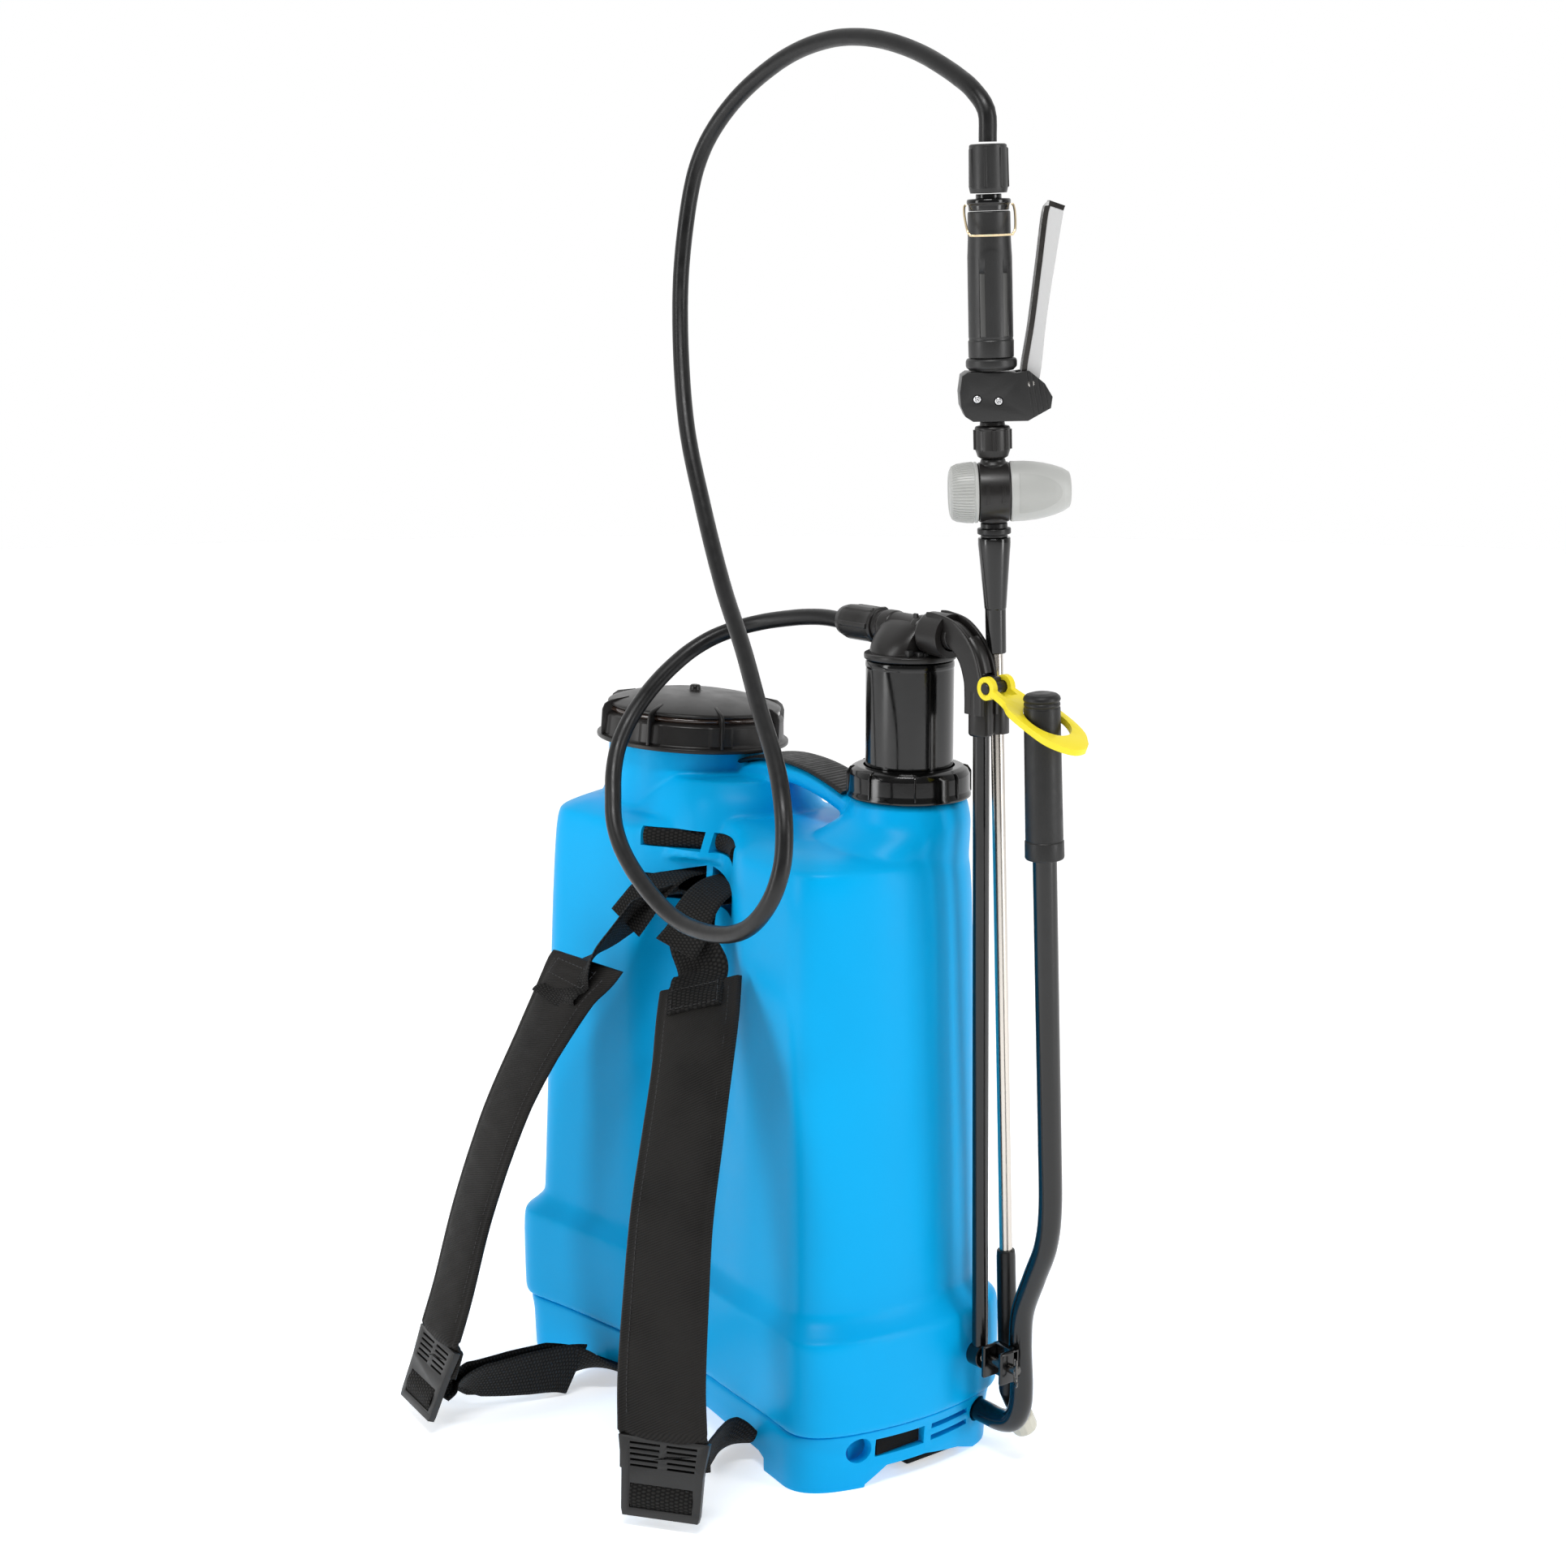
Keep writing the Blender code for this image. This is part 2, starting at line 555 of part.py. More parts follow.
def make_pump_hose_nut(pump_frame):
    nut_at = aim((PUMP_X, PUMP_Y, HEAD_Z), (-1, 0, 0))
    profile = [(0, 0.0223), (0.0098, 0.0223), (0.0105, 0.034), (0.0105, 0.055), (0.0085, 0.0625), (0, 0.0625)]
    hose_nut = lathe("hose_nut_pump", profile, BLACK, pump_frame, nut_at, 24)
    for i in range(6):
        turn = nut_at @ Matrix.Rotation(math.pi * i / 3, 4, "Z")
        rib = box(f"hose_nut_rib_{i}", (0.003, 0.003, 0.020), (0.0102, 0, 0.044), BLACK, pump_frame, turn)
        boolean(hose_nut, rib, "UNION")


# ---- Arm and connecting rod: they hang on the head's cross tube and swing a little about it

ARM_AT = Matrix.Translation((ROD_X, PUMP_Y, HEAD_Z)) @ Matrix.Rotation(ROD_LEAN, 4, "X")
ARM_BEND = [Vector((-0.035, 0, 0.006)), Vector((-0.020, 0, 0.003)), Vector((-0.007, 0, -0.008))]
ARM_BEND += [Vector((-0.001, 0, -0.022)), Vector((0, 0, -0.034))]


def arm_bend(arm_frame):
    """The arm's elbow: an oval bar from the cross tube's collar down to the rod's socket."""
    points = spline(ARM_BEND, 9)
    rings = []
    for i, p in enumerate(points):
        ahead = (points[min(i + 1, 8)] - points[max(i - 1, 0)]).normalized()
        out = ahead.cross(Vector((0, 1, 0))).normalized()
        angles = [2 * math.pi * k / 12 for k in range(12)]
        ring = [p + Vector((0, 0.0074, 0)) * math.cos(a) + out * 0.0068 * math.sin(a) for a in angles]
        rings.append([ARM_AT @ q for q in ring])
    return loft("arm_bend", rings, BLACK, arm_frame)


def make_arm(arm_frame):
    along_x = ARM_AT @ aim((0, 0, 0), (1, 0, 0))
    collar = [(0.0135, -0.026), (0.0135, -0.046), (0.0092, -0.046), (0.0092, -0.026)]
    arm = lathe("pump_arm", collar, BLACK, arm_frame, along_x, 28, bore=True)
    boolean(arm, arm_bend(arm_frame), "UNION")
    boolean(arm, rod("arm_socket", 0.0072, (-0.0575, -0.030), BLACK, arm_frame, ARM_AT, 24), "UNION")
    trough = box("arm_trough", (0.0125, 0.0160, 0.026), (0, 0.0090, -0.0445), BLACK, arm_frame, ARM_AT)
    boolean(arm, trough, "UNION")
    lug = box("arm_lug", (0.016, 0.010, 0.012), (0.0075, -0.0014, -0.026), BLACK, arm_frame, ARM_AT, 0.001)
    boolean(arm, lug, "UNION")
    boss_at = ARM_AT @ aim((0.0146, -0.0014, -0.026), (0, 1, 0))
    boolean(arm, rod("arm_boss", 0.0035, 0.0098, BLACK, arm_frame, boss_at), "UNION")
    tube_seat = box("arm_tube_seat", (0.0098, 0.030, 0.060), (0, 0.0230, -0.0445), BLACK, arm_frame, ARM_AT)
    boolean(arm, tube_seat, "DIFFERENCE")
    boolean(arm, rod("arm_cross_bore", 0.0092, (-0.06, -0.0225), BLACK, arm_frame, along_x, 28), "DIFFERENCE")
    cone_clear = rod("arm_cone_clear", 0.0070, (0.0240, 0.06), BLACK, arm_frame, aim(LANCE, LANCE_DIR), 20)
    boolean(arm, cone_clear, "DIFFERENCE")
    boolean(arm, rod("arm_rod_bore", ROD_R + GAP, (-0.07, -0.033), BLACK, arm_frame, ARM_AT, 20), "DIFFERENCE")


def make_connecting_rod(arm_frame):
    bar = rod("connecting_rod", ROD_R, (-ROD_LEN, -0.0335), PAINT, arm_frame, ARM_AT)
    eye_at = ARM_AT @ aim((0, 0, -ROD_LEN), (1, 0, 0))
    boolean(bar, rod("rod_eye", 0.0078, 0.0048, PAINT, arm_frame, eye_at, 24), "UNION")
    boolean(bar, rod("rod_eye_hole", 0.0041, 0.01, PAINT, arm_frame, eye_at), "DIFFERENCE")
    bush = [(0, 0.0050), (0.0038, 0.0050), (0.0038, -0.0051), (0.0055, -0.0051), (0.0048, -0.0066), (0, -0.0066)]
    lathe("rod_pivot_bush", bush, STEEL, arm_frame, eye_at, 16)


# ---- Retaining clip: two rings on the arm's boss, and a loop round the lever's grip

CLIP_AT = ARM_AT @ Matrix.Translation((0.0146, -0.0014, -0.026)) @ Matrix.Rotation(math.radians(23.6), 4, "Y")
NEAR_EDGE = [(0.0045, -0.0090), (0.018, -0.0100), (0.028, -0.0140), (0.045, -0.0145), (0.060, -0.0130)]
NEAR_EDGE += [(0.071, -0.0070), (0.075, -0.0020), (0.075, 0.0055)]
FAR_EDGE = [(0.071, 0.0115), (0.060, 0.0185), (0.045, 0.0210), (0.028, 0.0195), (0.018, 0.0115), (0.0045, 0.0090)]


def make_clip(clip_frame):
    clip = prism("retaining_clip", NEAR_EDGE + FAR_EDGE, 0.004, YELLOW, clip_frame, CLIP_AT)
    for end in (-1, 1):
        ring_at = CLIP_AT @ aim((0, end * 0.0072, 0), (0, 1, 0))
        boolean(clip, rod(f"clip_ring_{end}", 0.0070, 0.0018, YELLOW, clip_frame, ring_at, 24), "UNION")
    fork = box("clip_fork_gap", (0.026, 0.0106, 0.03), (0.0, 0, 0), YELLOW, clip_frame, CLIP_AT)
    boolean(clip, fork, "DIFFERENCE")
    bore_at = CLIP_AT @ aim((0, 0, 0), (0, 1, 0))
    boolean(clip, rod("clip_bore", 0.0038, 0.02, YELLOW, clip_frame, bore_at), "DIFFERENCE")
    angles = [math.pi * i / 12 for i in range(24)]
    loop = [(0.0425 + 0.0170 * math.cos(a), 0.0035 + 0.0130 * math.sin(a)) for a in angles]
    boolean(clip, prism("clip_hole", loop, 0.03, YELLOW, clip_frame, CLIP_AT), "DIFFERENCE")


# ---- Lever: bent tube hooked into the base, with grip, retainer, bracket, pin and spring clip

LEVER_BEND = [(0.2020, 0.0305), (0.2085, 0.0420), (0.2103, 0.0580), (0.2100, 0.0850), (0.2128, 0.1080)]
LEVER_BEND += [(0.2240, 0.1340), (0.2345, 0.1580), (0.2390, 0.1850), (LEVER_X, 0.2300)]
GRIP_PROFILE = [
    (0, 0.1000),
    (0.0095, 0.0995),
    (0.0108, 0.0975),
    (0.0108, 0.0945),
    (0.0102, 0.0935),
    (0.0108, 0.0925),
    (0.0113, 0.012),
    (0.0117, 0.009),
    (0.0117, 0.0),
    (LEVER_R + GAP, 0.0),
    (LEVER_R + GAP, 0.0945),
    (0, 0.0945),
]


def lever_y(z):
    return PIVOT.y - (z - PIVOT.z) * LEVER_LEAN


def make_lever_tube(lever_frame):
    line = [Vector((x, PIVOT.y, PIVOT.z)) for x in (0.144, 0.176, 0.190)]
    line += [Vector((x, lever_y(z), z)) for x, z in LEVER_BEND]
    curve = spline(line, 26) + [Vector((LEVER_X, lever_y(LEVER_TOP), LEVER_TOP))]
    pipe("lever_tube", curve, LEVER_R, LEVER_R - 0.0015, PAINT, lever_frame)
    grip_at = aim((LEVER_X, lever_y(0.405), 0.405), (0, -LEVER_LEAN, 1))
    lathe("lever_grip", GRIP_PROFILE, RUBBER, lever_frame, grip_at, 28)
    retainer = [(0.0097, 0.0035), (0.0097, 0.0), (LEVER_R + GAP, 0.0), (LEVER_R + GAP, 0.0035)]
    hook_at = aim((0.1465, PIVOT.y, PIVOT.z), (1, 0, 0))
    lathe("lever_retainer", retainer, BLACK, lever_frame, hook_at, 20, bore=True)


def make_crank(lever_frame):
    """The bracket on the lever that the connecting rod's eye is pinned into."""
    back = lever_y(PIN_Z + 0.0105) - LEVER_R - GAP
    size = (0.0185, back - 0.0245, 0.0210)
    bracket = box("crank_bracket", size, (0.2073, (back + 0.0245) / 2, PIN_Z), PAINT, lever_frame, None, 0.0015)
    gap = box("bracket_gap", (0.0125, 0.0120, 0.04), (0.2073, 0.0285, PIN_Z), PAINT, lever_frame)
    boolean(bracket, gap, "DIFFERENCE")
    pin_at = aim((0.1955, PIN_Y, PIN_Z), (1, 0, 0))
    boolean(bracket, rod("bracket_pin_hole", 0.0034, (-0.01, 0.05), PAINT, lever_frame, pin_at), "DIFFERENCE")
    profile = [(0, 0.0285), (0.0022, 0.0285), (0.0030, 0.0275), (0.0030, 0.0022), (0.0048, 0.0022), (0.0048, 0.0)]
    pin = lathe("crank_pin", profile + [(0, 0.0)], STEEL, lever_frame, pin_at, 16)
    cross_hole = box("pin_cross_hole", (0.0021, 0.0021, 0.02), (0.2205, PIN_Y, PIN_Z), STEEL, lever_frame)
    boolean(pin, cross_hole, "DIFFERENCE")


def make_pin_clip(lever_frame):
    loop = [(0, 0.0075), (0, -0.0030), (0.0012, -0.0070), (0.0048, -0.0088), (0.0066, -0.0060), (0.0048, -0.0032)]
    loop += [(0.0046, 0.0010), (0.0044, 0.0045), (0.0034, 0.0078)]
    points = spline([(0.2205 + x, PIN_Y - 0.6 * x, PIN_Z + z) for x, z in loop], 30)
    tube("pin_clip", points, 0.0007, CHROME, lever_frame, 2)


# ---- Straps: webbing through the tank's tunnels, pads, buckles, and webbing back under the base

PAD_LINE = {
    "right": [(0.060, -0.090, 0.310), (0.086, -0.115, 0.276), (0.101, -0.135, 0.2315), (0.1095, -0.150, 0.1855),
              (0.1165, -0.160, 0.138), (0.1225, -0.168, 0.090), (0.1275, -0.1715, 0.058)],
    "left": [(-0.0435, -0.104, 0.306), (-0.0590, -0.112, 0.282), (-0.0750, -0.130, 0.2376), (-0.0810, -0.150, 0.194),
             (-0.0900, -0.167, 0.1375), (-0.0885, -0.185, 0.0853), (-0.0875, -0.196, 0.058)],
}
PAD_ACROSS = {
    "right": [(0.97, 0.25, 0.0), (0.92, 0.38, 0.0), (0.82, 0.57, 0.0)],
    "left": [(0.92, 0.20, 0.33), (0.985, -0.06, 0.12), (0.987, -0.157, 0), (0.987, -0.157, 0), (0.987, -0.157, 0)],
}
LOW_LINE = {
    "right": [(0.1275, -0.1600, 0.0225), (0.1190, -0.1440, 0.0215), (0.1110, -0.1260, 0.0200), (0.1000, -0.1080, 0.0155),
              (0.0880, -0.0900, 0.0080), (0.0845, -0.0720, 0.0060), (0.0840, -0.0550, 0.0085)],
    "left": [(-0.0860, -0.1860, 0.0235), (-0.0780, -0.1740, 0.0215), (-0.0715, -0.1580, 0.0210),
             (-0.0665, -0.1400, 0.0210), (-0.0635, -0.1180, 0.0185), (-0.0640, -0.0960, 0.0105),
             (-0.0660, -0.0740, 0.0075), (-0.0680, -0.0550, 0.0090)],
}
LOW_ACROSS = {
    "right": [(0.82, 0.57, 0.0), (0.55, 0.50, 0.66), (0.35, 0.20, 0.91), (0.90, 0.0, 0.3), (1, 0, 0), (1, 0, 0)],
    "left": [(0.987, -0.157, 0), (0.50, 0.10, 0.86), (0.20, 0.05, 0.97), (0.55, 0, 0.83), (1, 0, 0.06), (1, 0, 0)],
}


def make_strap(side, slot_x):
    pad_line = PAD_LINE[side]
    pad_top = Vector(pad_line[0])
    down = (Vector(pad_line[1]) - pad_top).normalized()
    web = [(slot_x, -0.0440, 0.3865), (slot_x, -0.0365, 0.3850), (slot_x, -0.0345, 0.3780), (slot_x, -0.0345, 0.3650)]
    web += [(slot_x, -0.0370, 0.3580), (slot_x, -0.0470, 0.3562), (slot_x, -0.0630, 0.3545), (slot_x, -0.0730, 0.3515)]
    bend = Vector((slot_x, -0.0840, 0.3440)).lerp(pad_top - down * 0.020, 0.45)
    web += [bend, pad_top - down * 0.012, pad_top - down * 0.0035]
    across = PAD_ACROSS[side]
    ribbon("strap_web_top_" + side, spline(web, 20), [(1, 0, 0), (1, 0, 0), across[0]], WEB_W, WEB_T, WEB, ROOT)
    ribbon("strap_pad_" + side, spline(pad_line, 14), across, PAD_W, PAD_T, WEB, ROOT)

    # the buckle hangs off the pad's end, its frame open at the foot for the lower webbing
    pad_end = Vector(pad_line[-1])
    down = (pad_end - Vector(pad_line[-2])).normalized()
    wide = Vector(across[-1])
    buckle_at = aim(pad_end + down * 0.0275, wide.cross(down), wide)
    buckle = box("strap_buckle_" + side, (0.056, 0.0485, 0.0045), (0, 0, 0), BLACK, ROOT, buckle_at, 0.0015)
    window = box("buckle_window_" + side, (0.044, 0.015, 0.02), (0, 0.0125, 0), BLACK, ROOT, buckle_at)
    boolean(buckle, window, "DIFFERENCE")
    ribbon("strap_web_low_" + side, spline(LOW_LINE[side], 18), LOW_ACROSS[side], WEB_W, WEB_T, WEB, ROOT)


# ---- Lance and regulator, on the leaning gun axis


def turned(name, profile, mat, parent, steps=24, bore=False):
    return lathe(name, profile, mat, parent, GUN, steps, bore)


def make_lance(lance_frame):
    rod("lance_tube", LANCE_R, (-0.4300, 0.0275), STEEL, lance_frame, GUN)
    cone = [(0, 0.0965), (0.0115, 0.0965), (0.0115, 0.092), (0.0100, 0.086), (0.0064, 0.0535), (0.0064, 0.0270)]
    turned("lance_cone", cone + [(LANCE_R + GAP, 0.0270), (LANCE_R + GAP, 0.0278), (0, 0.0278)], BLACK, lance_frame)
    ring = [(0, 0.1052), (0.0080, 0.1052), (0.0080, 0.1020), (0.0103, 0.1018), (0.0103, 0.0985), (0.0080, 0.0982)]
    turned("regulator_ring", ring + [(0.0080, 0.0968), (0, 0.0968)], BLACK, lance_frame)


def make_regulator(lance_frame):
    profile = [(0, 0.1430), (0.0075, 0.1430), (0.0075, 0.1415), (0.0088, 0.1400), (0.0088, 0.1070), (0.0080, 0.1055)]
    body = turned("regulator_body", profile + [(0, 0.1055)], BLACK, lance_frame)
    across_at = GUN @ aim((0, 0, 0.1235), (1, 0, 0), (0, 0, 1))
    boolean(body, rod("regulator_drum", 0.0175, 0.0092, BLACK, lance_frame, across_at, 28), "UNION")
    knob_frame = empty("regulator_axis", across_at.translation, lance_frame, across_at.to_3x3())
    knob = [(0, -0.0095), (0.0180, -0.0095), (0.0180, -0.0155), (0.0165, -0.0235), (0.0130, -0.0265), (0, -0.0265)]
    lathe("regulator_knob", knob, GREY, knob_frame, across_at, 28)
    capsule = [(0, 0.0095), (0.0180, 0.0095), (0.0178, 0.018), (0.0165, 0.028), (0.0140, 0.037), (0.0105, 0.0445)]
    lathe("regulator_capsule", capsule + [(0.0085, 0.0455), (0, 0.0455)], GREY, lance_frame, across_at, 28)
    nut = [(0, 0.1650), (0.0075, 0.1650), (0.0075, 0.1625), (0.0105, 0.1615), (0.0105, 0.1480), (0.0090, 0.1445)]
    outlet = turned("outlet_nut", nut + [(0.0070, 0.1433), (0, 0.1433)], BLACK, lance_frame)
    for i in range(8):
        turn = GUN @ Matrix.Rotation(math.pi * i / 4, 4, "Z")
        rib = box(f"outlet_rib_{i}", (0.0015, 0.002, 0.013), (0.0108, 0, 0.1545), BLACK, lance_frame, turn)
        boolean(outlet, rib, "UNION")


# ---- Spray gun: housing, screws, trigger, grip, collar, bail and hose nut

HOUSE = [(-0.0195, 0.1655), (0.016, 0.1655), (0.030, 0.1680), (0.0340, 0.1725), (0.0300, 0.1860), (0.0210, 0.1945)]
HOUSE += [(-0.0195, 0.1945)]
TRIGGER_AT = GUN @ aim((0.0220, 0, 0.1870), (0, -1, 0), (1, 0, 0))
TRIGGER = [(-0.0040, -0.0030), (0.0040, -0.0030), (0.0065, 0.008), (0.0105, 0.040), (0.0165, 0.075), (0.0210, 0.1000)]
TRIGGER += [(0.0125, 0.1035), (0.0090, 0.098), (0.0050, 0.070), (0.0000, 0.035), (-0.0045, 0.010), (-0.0050, 0.0)]
BAIL = [(0.0130, 0.0, 0.2895), (0.0142, -0.0005, 0.2890), (0.0146, -0.0060, 0.2840), (0.0138, -0.0150, 0.2760)]
BAIL += [(0.0125, -0.0165, 0.2735), (0.0100, -0.0172, 0.2725)]


def make_gun_housing(lance_frame):
    house_at = GUN @ aim((0, 0, 0), (0, -1, 0), (1, 0, 0))
    housing = prism("trigger_housing", HOUSE, 0.024, BLACK, lance_frame, house_at)
    slot = box("housing_slot", (0.020, 0.0150, 0.022), (0.0240, 0, 0.1925), BLACK, lance_frame, GUN)
    boolean(housing, slot, "DIFFERENCE")
    screw = [(0, 0.0128), (0.0016, 0.0126), (0.0021, 0.0120), (0.0021, 0.0115), (0, 0.0115)]
    for n, (x, z) in enumerate(((-0.0095, 0.1790), (0.0030, 0.1775)), 1):
        screw_at = GUN @ aim((x, 0, z), (0, -1, 0))
        boolean(housing, rod(f"screw_seat_{n}", 0.0024, (0.0112, 0.02), BLACK, lance_frame, screw_at, 12), "DIFFERENCE")
        lathe(f"housing_screw_{n}", screw, CHROME, lance_frame, screw_at, 12)
    rod("trigger_pivot", 0.0020, 0.0118, STEEL, lance_frame, TRIGGER_AT, 12)
    boolean(housing, rod("pivot_seat", 0.0023, 0.02, STEEL, lance_frame, TRIGGER_AT, 12), "DIFFERENCE")


def make_trigger(trigger_frame):
    trigger = prism("trigger_lever", TRIGGER, 0.0130, CHROME, trigger_frame, TRIGGER_AT)
    boolean(trigger, rod("trigger_bore", 0.0023, 0.02, CHROME, trigger_frame, TRIGGER_AT, 12), "DIFFERENCE")


def make_gun_grip(lance_frame):
    profile = [(0, 0.2020), (0.0140, 0.2020), (0.0150, 0.2005), (0.0150, 0.1960), (0.0140, 0.1949), (0, 0.1949)]
    flange = turned("grip_flange", profile, BLACK, lance_frame)
    trim = box("flange_trim", (0.02, 0.04, 0.02), (0.0250, 0, 0.1980), BLACK, lance_frame, GUN)
    boolean(flange, trim, "DIFFERENCE")
    rings = [oval(0.0135, 0.0135, (0, 0), 0.2024, 28, 2.3)]
    rings += [oval(0.0124, 0.0130, (0, 0), z, 28, 2.3) for z in (0.2600, 0.2860)]
    loft("spray_grip", rings, BLACK, lance_frame, GUN)
    collar = [(0, 0.2955), (0.0070, 0.2955), (0.0070, 0.2930), (0.0125, 0.2925), (0.0125, 0.2863), (0, 0.2863)]
    turned("grip_collar", collar, BLACK, lance_frame)
    profile = [(0, 0.3238), (0.0098, 0.3238), (0.0112, 0.3200), (0.0115, 0.2990), (0.0105, 0.2960), (0, 0.2960)]
    nut = turned("hose_nut_gun", profile, BLACK, lance_frame)
    for i in range(6):
        turn = GUN @ Matrix.Rotation(math.pi * i / 3, 4, "Z")
        rib = box(f"gun_nut_rib_{i}", (0.0025, 0.0035, 0.022), (0.0112, 0, 0.3095), BLACK, lance_frame, turn)
        boolean(nut, rib, "UNION")


def make_bail(bail_frame):
    points = [GUN @ Vector(p) for p in BAIL]
    points += [GUN @ Vector((-x, y, z)) for x, y, z in BAIL[::-1]]
    tube("lock_bail", spline(points, 26), 0.0007, BRASS, bail_frame, 2)


# ---- Foot of the lance: sleeve with an elbow, nozzle body and cap

FOOT_TILT = math.radians(27)
FOOT = aim(GUN @ Vector((0, 0, -0.4510)), (0, math.sin(FOOT_TILT), -math.cos(FOOT_TILT)))
NOZZLE = [(0, 0.0123), (0.0056, 0.0123), (0.0056, 0.0160), (0.0068, 0.0165), (0.0068, 0.0220), (0.0050, 0.0225)]
NOZZLE += [(0.0050, 0.0330), (0, 0.0330)]
CAP = [(0.0053, 0.0228), (0.0080, 0.0228), (0.0083, 0.0240), (0.0083, 0.0330), (0.0072, 0.0355), (0, 0.0355)]
CAP += [(0, 0.0333), (0.0053, 0.0333)]


def make_foot(lance_frame):
    profile = [(0, -0.3555), (0.0056, -0.3555), (0.0060, -0.3600), (0.0060, -0.4510), (0, -0.4510)]
    sleeve = turned("lance_sleeve", profile, BLACK, lance_frame)
    elbow = [(0, -0.0040), (0.0045, -0.0030), (0.0059, 0.0), (0.0059, 0.0120), (0, 0.0120)]
    boolean(sleeve, lathe("sleeve_elbow", elbow, BLACK, lance_frame, FOOT, 24), "UNION")
    boolean(sleeve, rod("sleeve_bore", LANCE_R + GAP, (-0.4305, -0.35), BLACK, lance_frame, GUN), "DIFFERENCE")
    lathe("nozzle_body", NOZZLE, CHROME, lance_frame, FOOT, 24)
    cap_frame = empty("nozzle_axis", FOOT.translation, lance_frame, FOOT.to_3x3())
    lathe("nozzle_cap", CAP, GREY, cap_frame, FOOT, 24, bore=True)


# ---- Hose: one cord from the pump head's nut, down round a loop, up and over to the gun

HOSE = [(0.0618, 0.0243, 0.5290), (0.0320, 0.0220, 0.5290), (-0.0120, 0.0100, 0.5210), (-0.0360, -0.0120, 0.5085)]
HOSE += [(-0.0430, -0.0400, 0.4890), (-0.0370, -0.0700, 0.4660), (-0.0280, -0.0900, 0.4430)]
HOSE += [(-0.0110, -0.1050, 0.4180), (0.0030, -0.1120, 0.3980), (0.0330, -0.1180, 0.3780), (0.0760, -0.1220, 0.3610)]
HOSE += [(0.1210, -0.1250, 0.3600), (0.1540, -0.1260, 0.3700), (0.1750, -0.1250, 0.3910), (0.1800, -0.1200, 0.4150)]
HOSE += [(0.1700, -0.1120, 0.4410), (0.1480, -0.1000, 0.4640), (0.1130, -0.0850, 0.4920), (0.0760, -0.0680, 0.5210)]
HOSE += [(0.0320, -0.0500, 0.5550), (-0.0150, -0.0300, 0.6010), (-0.0520, -0.0150, 0.6510)]
HOSE += [(-0.0780, 0.0000, 0.7125), (-0.0870, 0.0100, 0.7650), (-0.0810, 0.0180, 0.8170), (-0.0550, 0.0250, 0.8520)]
HOSE += [(-0.0110, 0.0300, 0.8770), (0.0330, 0.0320, 0.8870), (0.0750, 0.0320, 0.8855), (0.1170, 0.0300, 0.8755)]
HOSE += [(0.1540, 0.0260, 0.8610), (0.1790, 0.0230, 0.8475), GUN @ Vector((0, 0, 0.3410)), GUN @ Vector((0, 0, 0.3330))]
HOSE += [GUN @ Vector((0, 0, 0.3250))]


def make_hose():
    line = spline(HOSE, 78)
    half = len(line) // 2
    tube("hose_lower", line[: half + 1], HOSE_R, BLACK, ROOT, 2)
    upper = line[half:]
    upper[0] = upper[0] + (upper[1] - upper[0]).normalized() * 0.0009
    tube("hose_upper", upper, HOSE_R, BLACK, ROOT, 2)


def build():
    make_tank()
    make_base()
    make_lid()
    make_pump_body()
    pump_frame = empty("pump_slide_axis", (PUMP_X, PUMP_Y, HEAD_Z), ROOT)
    make_pump_head(pump_frame)
    make_pump_hose_nut(pump_frame)
    arm_frame = empty("arm_axis", (ROD_X, PUMP_Y, HEAD_Z), pump_frame, ARM_AT.to_3x3())
    make_arm(arm_frame)
    make_connecting_rod(arm_frame)
    make_clip(empty("clip_axis", CLIP_AT.translation, arm_frame, CLIP_AT.to_3x3()))
    lever_frame = empty("lever_axis", PIVOT, ROOT)
    make_lever_tube(lever_frame)
    make_crank(lever_frame)
    make_pin_clip(lever_frame)
    for side, slot_x in SLOT_X.items():
        make_strap(side, slot_x)
    lance_frame = empty("lance_axis", LANCE, ROOT)
    make_lance(lance_frame)
    make_regulator(lance_frame)
    make_gun_housing(lance_frame)
    make_trigger(empty("trigger_axis", TRIGGER_AT.translation, lance_frame, TRIGGER_AT.to_3x3()))
    make_gun_grip(lance_frame)
    make_bail(empty("bail_axis", GUN @ Vector((0, 0, 0.2895)), lance_frame, GUN.to_3x3()))
    make_foot(lance_frame)
    make_hose()
    ROOT.location = (TANK_X, TANK_Y, 0)


build()
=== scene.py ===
"""Looks of the knapsack sprayer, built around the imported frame. +Z is up.

Sizes are in metres. Outlines and routes wrapped in mm() are lists in millimetres. A turned piece is a
list of (radius, height) from its top down; a node's visual rides on the body that its CAD node is in.
"""

import math

import bmesh
import bpy
import numpy as np
from mathutils import Matrix, Vector


